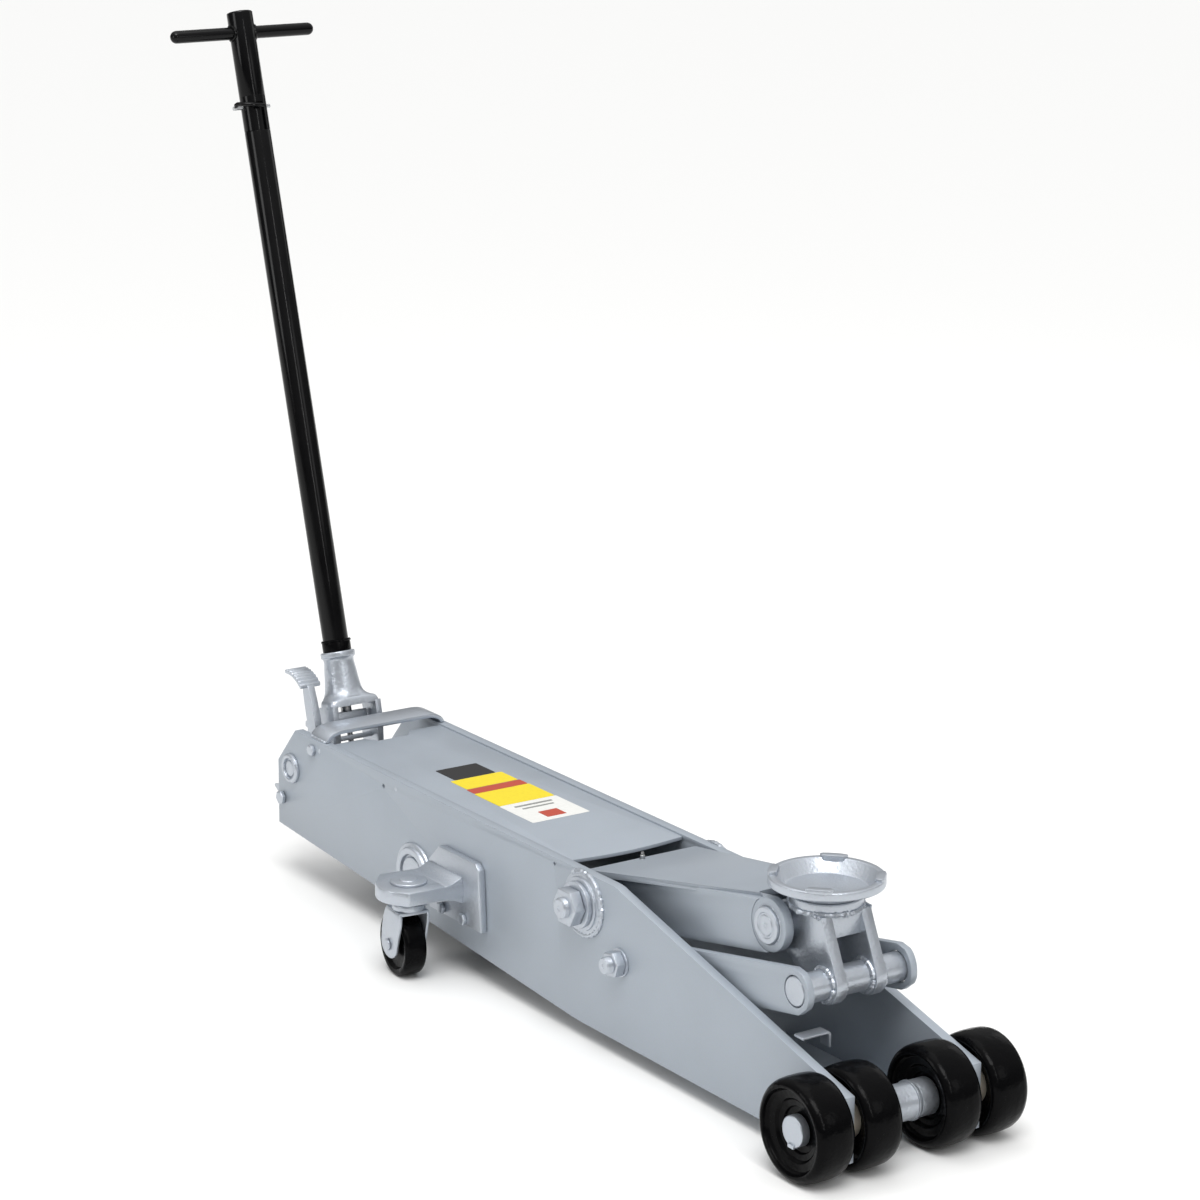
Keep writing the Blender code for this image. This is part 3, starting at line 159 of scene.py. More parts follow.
# --- Side plates ---
# Two 16.5 mm rolled plates, flame cut to a long wedge with chipped-off edges, and sprayed with silver enamel.
# The enamel lies thin over the rolled face, so it shows a fine peel and faint clouding.
PLATE_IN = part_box("side_plate_left")[0][1]
PLATE_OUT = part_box("side_plate_left")[1][1]
REAR_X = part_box("side_plate_left")[0][0]
FRONT_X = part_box("side_plate_left")[1][0]
BOTTOM_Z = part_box("side_plate_left")[0][2]
TOP_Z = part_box("side_plate_left")[1][2]
REAR_BOTTOM_Z = 0.0935
CHAMFER_Z = 0.208
FRONT_TOP_Z = 0.1285
BEND_X = AXLE.x - 0.6337
SHOULDER_X = AXLE.x - 0.5313
REAR_TOP_X = AXLE.x - 1.4998
SWAP_YZ = Matrix(((1, 0, 0, 0), (0, 0, 1, 0), (0, 1, 0, 0), (0, 0, 0, 1)))


def silver_enamel(name, colour, roughness, peel_mm, peel_depth, metallic=0.25):
    """Air-dried silver enamel: fine flake gives it a soft sheen, and the spray leaves a peel
    of about peel_mm.
    """
    coat = bpy.data.materials.new(name)
    coat.use_nodes = True
    tree = coat.node_tree
    shader = tree.nodes["Principled BSDF"]
    place = node(tree, "ShaderNodeTexCoord").outputs["Object"]
    cloud = node(tree, "ShaderNodeTexNoise", {"Vector": place, "Scale": 9.0, "Detail": 4.0})
    fleck = node(tree, "ShaderNodeTexNoise", {"Vector": place, "Scale": 420.0, "Detail": 2.0})
    light = tuple(min(1, c * 1.07) for c in linear(colour)[:3]) + (1,)
    dark = tuple(c * 0.92 for c in linear(colour)[:3]) + (1,)
    tint = node(tree, "ShaderNodeMix", {0: cloud.outputs["Fac"], 6: dark, 7: light}, data_type="RGBA")
    flake_inputs = {0: 0.12, 6: tint.outputs[2], 7: fleck.outputs["Color"]}
    flake = node(tree, "ShaderNodeMix", flake_inputs, data_type="RGBA", blend_type="SOFT_LIGHT")
    tree.links.new(flake.outputs[2], shader.inputs["Base Color"])
    gloss = node(
        tree, "ShaderNodeMapRange",
        {"Value": cloud.outputs["Fac"], "To Min": roughness - 0.05, "To Max": roughness + 0.07},
    )
    tree.links.new(gloss.outputs["Result"], shader.inputs["Roughness"])
    shader.inputs["Metallic"].default_value = metallic
    peel = node(tree, "ShaderNodeTexNoise", {"Vector": place, "Scale": 1000 / peel_mm, "Detail": 3.0})
    bump = node(
        tree, "ShaderNodeBump",
        {"Height": peel.outputs["Fac"], "Distance": peel_depth, "Strength": 0.5},
    )
    tree.links.new(bump.outputs["Normal"], shader.inputs["Normal"])
    return coat


plate_enamel = silver_enamel("silver_enamel_on_rolled_plate", "#A3ABB4", 0.42, 3.5, 0.00010)
casting_enamel = silver_enamel("silver_enamel_on_sand_casting", "#B9BFC7", 0.33, 5.0, 0.00130, 0.72)


def slab(outline, low, high, holes=(), place=SWAP_YZ, soft=0.0012):
    """Plate cut to an outline, drilled, and broken along its edges. It lies between two depths."""
    bm = bmesh.new()
    for loop in (outline, *holes):
        corners = [bm.verts.new((x, y, low)) for x, y in loop]
        for a, b in zip(corners, corners[1:] + corners[:1]):
            bm.edges.new((a, b))
    bmesh.ops.triangle_fill(bm, edges=bm.edges[:], use_beauty=True)
    grown = bmesh.ops.extrude_face_region(bm, geom=bm.faces[:])
    lifted = [item for item in grown["geom"] if isinstance(item, bmesh.types.BMVert)]
    bmesh.ops.translate(bm, vec=(0, 0, high - low), verts=lifted)
    return settle(bm, place, soft)


def eased(outline, reach, steps=4):
    """The same outline with each corner rounded off, up to a reach along its two edges."""
    points = []
    for i, corner in enumerate(outline):
        here = Vector(corner)
        before, after = (Vector(outline[i - 1]) - here, Vector(outline[(i + 1) % len(outline)]) - here)
        start = here + before.normalized() * min(reach, before.length * 0.45)
        end = here + after.normalized() * min(reach, after.length * 0.45)
        for step in range(steps + 1):
            t = step / steps
            points.append(tuple(start.lerp(here, t).lerp(here.lerp(end, t), t)))
    return points


def settle(bm, place, soft=0.0, segments=2):
    """Faces outwards, with the hard edges softened, and moved to its place on the jack."""
    bmesh.ops.remove_doubles(bm, verts=bm.verts[:], dist=1e-6)
    bmesh.ops.recalc_face_normals(bm, faces=bm.faces[:])
    if soft:
        hard = [e for e in bm.edges if len(e.link_faces) == 2 and e.calc_face_angle() > 0.45]
        bmesh.ops.bevel(
            bm,
            geom=hard,
            offset=soft,
            segments=segments,
            profile=0.5,
            affect="EDGES",
            material=-1,
            clamp_overlap=True,
        )
    bmesh.ops.transform(bm, matrix=place, verts=bm.verts[:])
    bmesh.ops.recalc_face_normals(bm, faces=bm.faces[:])
    return bm


def piece(name, bm, material, body, slot, *replaced):
    """Makes the finished piece, which rides on a body and may stand for CAD nodes."""
    mesh = bpy.data.meshes.new(name)
    bm.to_mesh(mesh)
    bm.free()
    mesh.materials.append(material)
    mesh.shade_smooth()
    mesh.set_sharp_from_angle(angle=math.radians(32))
    made = bpy.data.objects.new(name, mesh)
    bpy.context.scene.collection.objects.link(made)
    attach(made, body)
    if replaced:
        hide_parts(*replaced)
    return made


def arc(centre, radius, start, end, steps):
    """Points round part of a circle, between two angles in degrees."""
    angles = [math.radians(start + (end - start) * i / steps) for i in range(steps + 1)]
    return [(centre[0] + radius * math.cos(a), centre[1] + radius * math.sin(a)) for a in angles]


def ring(centre, radius, steps=48):
    return arc(centre, radius, 0, 360, steps)[:-1]


side_outline = [
    (REAR_X, REAR_BOTTOM_Z),
    (BEND_X - 0.030, BOTTOM_Z + 0.0022),
    (BEND_X - 0.010, BOTTOM_Z + 0.0009),
    (BEND_X + 0.015, BOTTOM_Z),
    (FRONT_X, BOTTOM_Z),
    (FRONT_X, FRONT_TOP_Z),
    (SHOULDER_X + 0.018, TOP_Z - 0.0047),
    (SHOULDER_X + 0.008, TOP_Z - 0.0018),
    (SHOULDER_X - 0.002, TOP_Z - 0.0004),
    (SHOULDER_X - 0.014, TOP_Z),
    (REAR_TOP_X, TOP_Z),
    (REAR_X, CHAMFER_Z),
]
cover_holes = [ring((AXLE.x - 1.2065, 0.2529), 0.0038, 20), ring((AXLE.x - 0.6953, 0.2640), 0.0030, 20)]
for side, word in ((-1, "right"), (1, "left")):
    low, high = sorted((side * PLATE_IN, side * PLATE_OUT))
    plate_bm = slab(side_outline, low, high, cover_holes)
    piece(
        f"side_plate_{word}_sheet", plate_bm, plate_enamel, "chassis", f"side_plate_{word}",
        f"side_plate_{word}",
    )


# --- Top cover and its decals ---
# A 6 mm sheet tacked between the plates, with a bowed front lip and a notch at the rear. Plain decals are
# laid on it as blocks of printed vinyl, without any words.
COVER_LOW, COVER_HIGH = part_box("top_cover")
COVER_NOTCH = 0.022
COVER_BOW = 0.010
cover_bow = [
    (COVER_HIGH[0] - COVER_BOW + COVER_BOW * math.cos(math.pi * i / 24), COVER_HIGH[1] * i / 12)
    for i in range(-12, 13)
]
cover_rear = [(0, 1), (0, 0.42), (1, 0.28), (1, -0.28), (0, -0.42), (0, -1)]
cover_outline = [*cover_bow, *[(COVER_LOW[0] + COVER_NOTCH * a, COVER_HIGH[1] * b) for a, b in cover_rear]]
cover_bm = slab(cover_outline, COVER_LOW[2], COVER_HIGH[2], place=Matrix(), soft=0.0008)
piece("top_cover_sheet", cover_bm, plate_enamel, "chassis", "top_cover", "top_cover")


def printed_vinyl(name, colour):
    """Calendered vinyl with a satin overlaminate and a faint dusting of wear."""
    film = bpy.data.materials.new(name)
    film.use_nodes = True
    tree = film.node_tree
    shader = tree.nodes["Principled BSDF"]
    place = node(tree, "ShaderNodeTexCoord").outputs["Object"]
    dust = node(tree, "ShaderNodeTexNoise", {"Vector": place, "Scale": 160.0, "Detail": 5.0})
    tone = node(tree, "ShaderNodeMapRange", {"Value": dust.outputs["Fac"], "To Min": 0.90, "To Max": 1.06})
    tint = node(tree, "ShaderNodeVectorMath", {0: linear(colour)[:3]}, operation="SCALE")
    tree.links.new(tone.outputs["Result"], tint.inputs["Scale"])
    tree.links.new(tint.outputs["Vector"], shader.inputs["Base Color"])
    shader.inputs["Roughness"].default_value = 0.38
    return film


yellow_vinyl = printed_vinyl("yellow_vinyl", "#EBD419")
white_vinyl = printed_vinyl("white_vinyl", "#E6E6E2")
black_vinyl = printed_vinyl("black_vinyl", "#151415")
red_vinyl = printed_vinyl("red_vinyl", "#B8452F")
grey_vinyl = printed_vinyl("grey_vinyl", "#8E8F8C")
FILM = 0.0004
DECALS = (
    ("decal_black", -1.178, -1.1165, 0.040, black_vinyl),
    ("decal_yellow_rear", -1.1152, -1.0640, 0.050, yellow_vinyl),
    ("decal_red_band", -1.0625, -1.0375, 0.052, red_vinyl),
    ("decal_yellow_front", -1.0365, -0.9600, 0.0535, yellow_vinyl),
    ("decal_white", -0.9592, -0.8590, 0.055, white_vinyl),
)


def rounded(low_x, high_x, half_y, radius=0.003):
    """The outline of a rounded rectangle about the centre line."""
    corners = (
        (high_x - radius, half_y - radius, 0),
        (low_x + radius, half_y - radius, 90),
        (low_x + radius, -half_y + radius, 180),
        (high_x - radius, -half_y + radius, 270),
    )
    return [point for x, y, turn in corners for point in arc((x, y), radius, turn, turn + 90, 4)]


for decal, rear, front, half, film in DECALS:
    decal_outline = rounded(AXLE.x + rear, AXLE.x + front, half)
    decal_bm = slab(decal_outline, COVER_HIGH[2] + 0.0001, COVER_HIGH[2] + FILM, place=Matrix(), soft=0)
    piece(decal, decal_bm, film, "chassis", "top_cover")
for count, (rear, front, half) in enumerate(
    ((-0.945, -0.939, 0.036), (-0.930, -0.925, 0.030), (-0.902, -0.872, 0.018))
):
    rule_outline = rounded(AXLE.x + rear, AXLE.x + front, half, 0.001)
    rule_bm = slab(rule_outline, COVER_HIGH[2] + FILM, COVER_HIGH[2] + 2 * FILM, place=Matrix(), soft=0)
    piece(f"decal_rule_{count}", rule_bm, grey_vinyl if count < 2 else red_vinyl, "chassis", "top_cover")


# --- Rear bridge strap ---
# A flat bar bent down at both ends over the plates and tacked to them with short weld beads.
BRIDGE_LOW, BRIDGE_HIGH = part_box("rear_bridge")
BRIDGE_T = 0.008
BRIDGE_FLAT = 0.082
strap_bend = BRIDGE_HIGH[1] - BRIDGE_FLAT
strap_rise = BRIDGE_HIGH[2] - BRIDGE_LOW[2]
quarter_turn = [math.radians(90 * i / 8) for i in range(9)]


def bend_curve(run, rise):
    """A quarter of an ellipse from the strap's foot up to its flat top."""
    return [(BRIDGE_FLAT + run * math.cos(a), BRIDGE_LOW[2] + rise * math.sin(a)) for a in quarter_turn]


outer_bend = bend_curve(strap_bend, strap_rise)
inner_bend = bend_curve(strap_bend - BRIDGE_T, strap_rise - BRIDGE_T)
strap_outline = [
    *outer_bend,
    *[(-y, z) for y, z in reversed(outer_bend)],
    *[(-y, z) for y, z in inner_bend],
    *reversed(inner_bend),
]
ACROSS = Matrix(((0, 0, 1, 0), (1, 0, 0, 0), (0, 1, 0, 0), (0, 0, 0, 1)))
strap_bm = slab(strap_outline, BRIDGE_LOW[0], BRIDGE_HIGH[0], place=ACROSS, soft=0.0022)
piece("rear_bridge_strap", strap_bm, casting_enamel, "chassis", "rear_bridge", "rear_bridge")


def loft(loops, place=None, soft=0.0):
    """A closed skin over a row of loops, each with the same number of points."""
    bm = bmesh.new()
    rims = []
    for loop in loops:
        corners = [bm.verts.new(point) for point in loop]
        rims.append([bm.edges.new(pair) for pair in zip(corners, corners[1:] + corners[:1])])
    for first, second in zip(rims, rims[1:]):
        bmesh.ops.bridge_loops(bm, edges=first + second)
    for rim in (rims[0], rims[-1]):
        bmesh.ops.contextual_create(bm, geom=rim)
    return settle(bm, place if place else Matrix(), soft)


def rope_of(points, radius, wobble=0.0, sides=10):
    """A round bar along a path, such as a bent rod, or a weld bead when its thickness wobbles."""
    loops = []
    last = len(points) - 1
    for i, point in enumerate(points):
        along = Vector(points[min(i + 1, last)]) - Vector(points[max(i - 1, 0)])
        turn = along.to_track_quat("Z", "Y").to_matrix()
        swell = radius * (1 + wobble * noise.noise(Vector(point) * 400))
        if wobble and i in (0, last):
            swell *= 0.4
        loops.append([Vector(point) + turn @ Vector((x, y, 0)) for x, y in ring((0, 0), swell, sides)])
    return loft(loops)


def straight(start, end, count):
    return [Vector(start).lerp(Vector(end), i / count) for i in range(count + 1)]


for side, word in ((-1, "right"), (1, "left")):
    seam_y = side * (BRIDGE_HIGH[1] - 0.0005)
    seam = straight(
        (BRIDGE_LOW[0] + 0.004, seam_y, TOP_Z + 0.001), (BRIDGE_HIGH[0] - 0.004, seam_y, TOP_Z + 0.001),
        16,
    )
    piece(f"bridge_weld_{word}", rope_of(seam, 0.0030, 0.6), casting_enamel, "chassis", "rear_bridge")


# --- Small fasteners of the chassis ---
# Hexagon-headed screws, a pressed rivet and the lug plate behind the rear edge, all painted over in place.
TIE = Vector(((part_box("rear_tie_rod")[0][0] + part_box("rear_tie_rod")[1][0]) / 2, 0, 0.1432))


def spun(profile, centre, along="Y", steps=64, soft=0.0006, closed=False, lean=None):
    """Turned from a profile of (radius, distance along the axis), then set on its axis."""
    bm = bmesh.new()
    points = [bm.verts.new((radius, 0, height)) for radius, height in profile]
    pairs = list(zip(points, points[1:]))
    if closed:
        pairs.append((points[-1], points[0]))
    for a, b in pairs:
        bm.edges.new((a, b))
    geometry = bm.verts[:] + bm.edges[:]
    bmesh.ops.spin(
        bm, geom=geometry, cent=(0, 0, 0), axis=(0, 0, 1), angle=math.tau, steps=steps, use_merge=True
    )
    turn = {
        "X": Matrix.Rotation(math.pi / 2, 4, "Y"), "Y": Matrix.Rotation(-math.pi / 2, 4, "X"),
        "Z": Matrix(),
    }
    return settle(bm, Matrix.Translation(centre) @ (lean if lean else turn[along]), soft)


def hexagon(radius, low, high, centre, side=1, chamfer=0.0015, lean=0.0):
    """A hexagon nut or head between two distances from the centre plane, chamfered at both faces."""
    bm = bmesh.new()
    shape = Matrix.Translation((0, 0, (low + high) / 2)) @ Matrix.Rotation(math.radians(30) + lean, 4, "Z")
    bmesh.ops.create_cone(
        bm, cap_ends=True, segments=6, radius1=radius, radius2=radius, depth=high - low, matrix=shape
    )
    ends = [face for face in bm.faces if len(face.verts) == 6]
    bmesh.ops.translate(bm, vec=(0, 0, -chamfer), verts=[v for v in bm.verts if v.co.z > (low + high) / 2])
    bmesh.ops.translate(bm, vec=(0, 0, chamfer), verts=[v for v in bm.verts if v.co.z < (low + high) / 2])
    bmesh.ops.inset_individual(bm, faces=ends, thickness=chamfer * 1.4, depth=chamfer)
    face_out = Matrix.Rotation(-side * math.pi / 2, 4, "X")
    return settle(bm, Matrix.Translation(centre) @ face_out, 0.0005)


SCREWS = (
    ("rear_top_screw", -1.4392, 0.2555, 0.0105, 0.0075),
    ("front_rivet", -1.1670, 0.2588, 0.0042, 0.0016),
)
for side, word in ((-1, "right"), (1, "left")):
    for screw, back, height, radius, proud in SCREWS:
        centre = Vector((AXLE.x + back, 0, height))
        if proud > 0.003:
            head = hexagon(radius, PLATE_OUT, PLATE_OUT + proud, centre, side)
        else:
            head = spun(
                [(0, side * (PLATE_OUT + proud)), (radius, side * PLATE_OUT), (0, side * PLATE_OUT)],
                centre, soft=0,
            )
        piece(f"{screw}_{word}", head, casting_enamel, "chassis", f"side_plate_{word}")
    dimple = [
        (0, side * (PLATE_OUT + 0.0012)), (0.003, side * (PLATE_OUT + 0.001)),
        (0.0042, side * PLATE_OUT), (0, side * PLATE_OUT),
    ]
    dimple_at = Vector((AXLE.x - 1.4180, 0, 0.2590))
    piece(
        f"weld_dimple_{word}", spun(dimple, dimple_at, soft=0), casting_enamel, "chassis",
        f"side_plate_{word}",
    )
    tie_head = hexagon(0.0125, PLATE_OUT + 0.0005, PLATE_OUT + 0.009, TIE, side, lean=0.3)
    node_names = ("rear_tie_rod",) if side < 0 else ()
    piece(f"rear_tie_head_{word}", tie_head, casting_enamel, "chassis", "rear_tie_rod", *node_names)
    lug = [(TIE.x + 0.010, 0.130), (TIE.x + 0.010, 0.156), (REAR_X - 0.012, 0.157), (REAR_X - 0.046, 0.148)]
    lug += [(REAR_X - 0.044, 0.144), (REAR_X - 0.006, 0.121)]
    low, high = sorted((side * (PLATE_IN - 0.006), side * (PLATE_IN - 0.0005)))
    piece(f"rear_lug_{word}", slab(lug, low, high), casting_enamel, "chassis", "rear_tie_rod")
tie_bar = spun([(0, 0.1065), (0.008, 0.1065), (0.008, -0.1065), (0, -0.1065)], TIE)
piece("rear_tie_bar", tie_bar, casting_enamel, "chassis", "rear_tie_rod")

# A strap hook is bent from flat bar and welded to the inner face of the right plate, behind the wheels.
HOOK_X, HOOK_Z = 0.8200, 0.1750
strap_hook = [
    (-PLATE_IN + 0.0005, HOOK_Z - 0.004), (-PLATE_IN + 0.0005, HOOK_Z), (-0.0600, HOOK_Z + 0.001),
    (-0.0560, HOOK_Z - 0.003),
]
strap_hook += [
    (-0.0555, HOOK_Z - 0.024), (-0.0595, HOOK_Z - 0.024), (-0.0600, HOOK_Z - 0.005),
    (-0.0630, HOOK_Z - 0.003),
]
hook_bm = slab(strap_hook, HOOK_X - 0.011, HOOK_X + 0.011, place=ACROSS, soft=0.0009)
piece("front_strap_hook", hook_bm, casting_enamel, "chassis", "bottom_tie_plate")


# --- Front wheels ---
# Four cast barrel wheels with stepped hubs, dipped in gloss black, whose lumpy skin breaks the highlights.
# A steel axle with flat end discs carries them, with a spacer tube between the inner pair.
WHEEL_LOW, WHEEL_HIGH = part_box("front_wheel_outer_right")
WHEEL_R = (WHEEL_HIGH[2] - WHEEL_LOW[2]) / 2
WHEEL_HALF = (WHEEL_HIGH[1] - WHEEL_LOW[1]) / 2
AXLE_R = 0.020


def black_gloss(name, lump_mm, lump_depth, roughness, shine):
    """Thick gloss black enamel over a rough base: deep black, sharp highlights that waver with the lumps."""
    coat = bpy.data.materials.new(name)
    coat.use_nodes = True
    tree = coat.node_tree
    shader = tree.nodes["Principled BSDF"]
    place = node(tree, "ShaderNodeTexCoord").outputs["Object"]
    lumps = node(tree, "ShaderNodeTexNoise", {"Vector": place, "Scale": 1000 / lump_mm, "Detail": 4.0})
    smear = node(
        tree, "ShaderNodeTexNoise", {"Vector": place, "Scale": 25.0, "Detail": 6.0, "Roughness": 0.6}
    )
    pair = {0: smear.outputs["Fac"], 6: linear("#030304"), 7: linear("#0B0B0C")}
    tone = node(tree, "ShaderNodeMix", pair, data_type="RGBA")
    tree.links.new(tone.outputs[2], shader.inputs["Base Color"])
    gloss = node(
        tree, "ShaderNodeMapRange",
        {"Value": smear.outputs["Fac"], "To Min": roughness - 0.06, "To Max": roughness + 0.12},
    )
    tree.links.new(gloss.outputs["Result"], shader.inputs["Roughness"])
    shader.inputs["Specular IOR Level"].default_value = shine
    bump = node(
        tree, "ShaderNodeBump",
        {"Height": lumps.outputs["Fac"], "Distance": lump_depth, "Strength": 0.6},
    )
    tree.links.new(bump.outputs["Normal"], shader.inputs["Normal"])
    return coat


# This gloss black is the real finish of the wheels, the casters and the handle's foot ring. It is also put on
# the cylinder, tank and pump block inside the chassis as painted shade.
gloss_black_and_painted_shade = black_gloss("gloss_black_on_cast_wheel", 11, 0.0012, 0.15, 0.06)
tread = [(0.0672, WHEEL_HALF), (0.0715, WHEEL_HALF - 0.0022), (0.0745, WHEEL_HALF - 0.0060)]
tread += [(0.0766, WHEEL_HALF - 0.0120), (WHEEL_R, WHEEL_HALF - 0.0240)]
hub_face = [
    (AXLE_R + 0.0005, WHEEL_HALF - 0.0215), (0.0335, WHEEL_HALF - 0.0215),
    (0.0350, WHEEL_HALF - 0.0175),
]
hub_face += [(0.0440, WHEEL_HALF - 0.0165), (0.0475, WHEEL_HALF - 0.0120), (0.0590, WHEEL_HALF - 0.0100)]
hub_face += [(0.0625, WHEEL_HALF - 0.0060), (0.0635, WHEEL_HALF - 0.0004)]
wheel_profile = [
    *tread,
    *[(r, -h) for r, h in reversed(tread)],
    *[(r, -h) for r, h in reversed(hub_face)],
    *hub_face,
]
for row in ("inner", "outer"):
    for word in ("right", "left"):
        name = f"front_wheel_{row}_{word}"
        low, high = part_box(name)
        centre = Vector((AXLE.x, (low[1] + high[1]) / 2, AXLE.z))
        wheel_bm = spun(wheel_profile, centre, steps=96, soft=0.0009, closed=True)
        piece(f"{name}_barrel", wheel_bm, gloss_black_and_painted_shade, name, name, name)

# Turned nylon spacers keep the wheels off the plates. They have yellowed to tan.
tan_nylon = printed_vinyl("tan_nylon", "#D6CDBD")
AXLE_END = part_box("front_axle")[1][1]
axle_half = [
    (0, AXLE_END), (0.0222, AXLE_END), (0.0236, AXLE_END - 0.0014), (0.0236, AXLE_END - 0.0145),
    (AXLE_R, AXLE_END - 0.0150),
]
axle_profile = [*axle_half, *[(r, -h) for r, h in reversed(axle_half)]]
piece("front_axle_bar", spun(axle_profile, AXLE), casting_enamel, "chassis", "front_axle", "front_axle")
for side, word in ((-1, "right"), (1, "left")):
    keeper = [(-0.007, -0.0246), (0.007, -0.0246), (0.007, -0.0185), (-0.007, -0.0185)]
    keeper = [(AXLE.x + x, AXLE.z + z) for x, z in keeper]
    low, high = sorted((side * (AXLE_END - 0.006), side * (AXLE_END + 0.0022)))
    piece(
        f"axle_keeper_{word}", slab(keeper, low, high, soft=0.0008), casting_enamel, "chassis",
        "front_axle",
    )
    for row, start, end in (
        ("inner", PLATE_IN - 0.0003, PLATE_IN - 0.0230),
        ("outer", PLATE_OUT + 0.0003, PLATE_OUT + 0.0230),
    ):
        bush = [
            (0.0300, side * start), (0.0300, side * end), (AXLE_R + 0.0002, side * end),
            (AXLE_R + 0.0002, side * start),
        ]
        piece(f"axle_bush_{row}_{word}", spun(bush, AXLE, closed=True), tan_nylon, "chassis", "front_axle")

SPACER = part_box("axle_spacer")[1][1]
spacer_half = [
    (0.0205, SPACER), (0.0272, SPACER), (0.0280, SPACER - 0.001), (0.0280, SPACER - 0.0300),
    (0.0262, SPACER - 0.0305),
]
spacer_half += [
    (0.0262, SPACER - 0.0330), (0.0300, SPACER - 0.0332), (0.0300, SPACER - 0.0375),
    (0.0278, SPACER - 0.0380),
]
spacer_profile = [*spacer_half, *[(r, -h) for r, h in reversed(spacer_half)]]
spacer_bm = spun(spacer_profile, AXLE, closed=True, soft=0.0004)
piece("axle_spacer_tube", spacer_bm, casting_enamel, "chassis", "axle_spacer", "axle_spacer")


# --- Main pivot and link bolts ---
# The lift arm's shaft ends in threaded studs, each with a hexagon nut against washers on a welded boss ring.
# The links hang on shorter shoulder bolts with plain nuts. Everything is painted over once it is tight.
ARM_PIVOT = PIVOT["arm_lift"]
LINK_PIVOT = PIVOT["links_swing"]
STUD_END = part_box("main_pivot_shaft")[1][1]
NUT_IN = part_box("main_pivot_nut_left")[0][1]
NUT_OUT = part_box("main_pivot_nut_left")[1][1]


def threaded(radius, start, end, pitch):
    """A stud's outline with shallow thread crests, from its flat, centre-marked end inwards."""
    crests = [
        (0, end - 0.0010), (radius * 0.22, end - 0.0010), (radius * 0.27, end), (radius * 0.84, end),
        (radius * 0.96, end - 0.0022),
    ]
    turns = int((end - start - 0.003) / pitch)
    for i in range(turns):
        top = end - 0.003 - i * pitch
        crests += [(radius, top), (radius - pitch * 0.35, top - pitch * 0.5)]
    return [*crests, (radius, start), (0, start)]


for side, word in ((-1, "right"), (1, "left")):
    stud = [(r, side * h) for r, h in threaded(0.0165, PLATE_OUT - 0.004, STUD_END, 0.0020)]
    nodes = ("main_pivot_shaft",) if side < 0 else ()
    piece(
        f"main_pivot_stud_{word}", spun(stud, ARM_PIVOT, soft=0.0002), casting_enamel, "chassis",
        "main_pivot_shaft", *nodes,
    )
    boss = [
        (0.0170, PLATE_OUT + 0.0177), (0.0372, PLATE_OUT + 0.0177), (0.0372, PLATE_OUT + 0.0112),
        (0.0350, PLATE_OUT + 0.0110),
    ]
    boss += [
        (0.0350, PLATE_OUT + 0.0098), (0.0425, PLATE_OUT + 0.0096), (0.0425, PLATE_OUT + 0.0056),
        (0.0440, PLATE_OUT + 0.0052),
    ]
    boss += [(0.0500, PLATE_OUT + 0.0046), (0.0510, PLATE_OUT + 0.0002), (0.0170, PLATE_OUT + 0.0002)]
    boss = [(r, side * h) for r, h in boss]
    name = f"main_pivot_boss_{word}"
    piece(f"{name}_ring", spun(boss, ARM_PIVOT, closed=True), casting_enamel, "chassis", name, name)
    name = f"main_pivot_nut_{word}"
    piece(
        f"{name}_hexagon", hexagon(0.0312, NUT_IN, NUT_OUT, ARM_PIVOT, side, 0.0010), casting_enamel,
        "chassis", name, name,
    )
    toe_arc = arc((ARM_PIVOT.x, ARM_PIVOT.z), 0.0500, -150, 125, 80)
    toe = [Vector((x, side * (PLATE_OUT + 0.0010), z)) for x, z in toe_arc]
    piece(
        f"main_boss_weld_{word}", rope_of(toe, 0.0046, 0.45, 10), casting_enamel, "chassis",
        f"main_pivot_boss_{word}",
    )

    name = f"link_pivot_bolt_{word}"
    bolt = [(r, side * h) for r, h in threaded(0.0139, PLATE_OUT + 0.001, PLATE_OUT + 0.032, 0.0018)]
    piece(f"{name}_stud", spun(bolt, LINK_PIVOT, soft=0), casting_enamel, "chassis", name, name)
    washer = [
        (0, side * (PLATE_OUT + 0.0035)), (0.0225, side * (PLATE_OUT + 0.0035)),
        (0.0225, side * (PLATE_OUT + 0.0002)), (0, side * (PLATE_OUT + 0.0002)),
    ]
    piece(f"{name}_washer", spun(washer, LINK_PIVOT), casting_enamel, "chassis", name)
    link_nut = hexagon(0.0215, PLATE_OUT + 0.0037, PLATE_OUT + 0.0210, LINK_PIVOT, side, 0.0016, 0.2)
    piece(f"{name}_nut", link_nut, casting_enamel, "chassis", name)
    shank = [
        (0, side * (PLATE_IN - 0.0005)), (0.0140, side * (PLATE_IN - 0.0005)), (0.0140, side * 0.0875),
        (0, side * 0.0875),
    ]
    piece(f"{name}_shank", spun(shank, LINK_PIVOT), casting_enamel, "chassis", name)
main_bar = spun([(0, 0.1068), (0.0222, 0.1068), (0.0222, -0.1068), (0, -0.1068)], ARM_PIVOT)
bare_steel = silver_enamel("oiled_turned_steel", "#9A9B9C", 0.28, 1.5, 0.00004, 1.0)
piece("main_pivot_bar", main_bar, bare_steel, "chassis", "main_pivot_shaft")


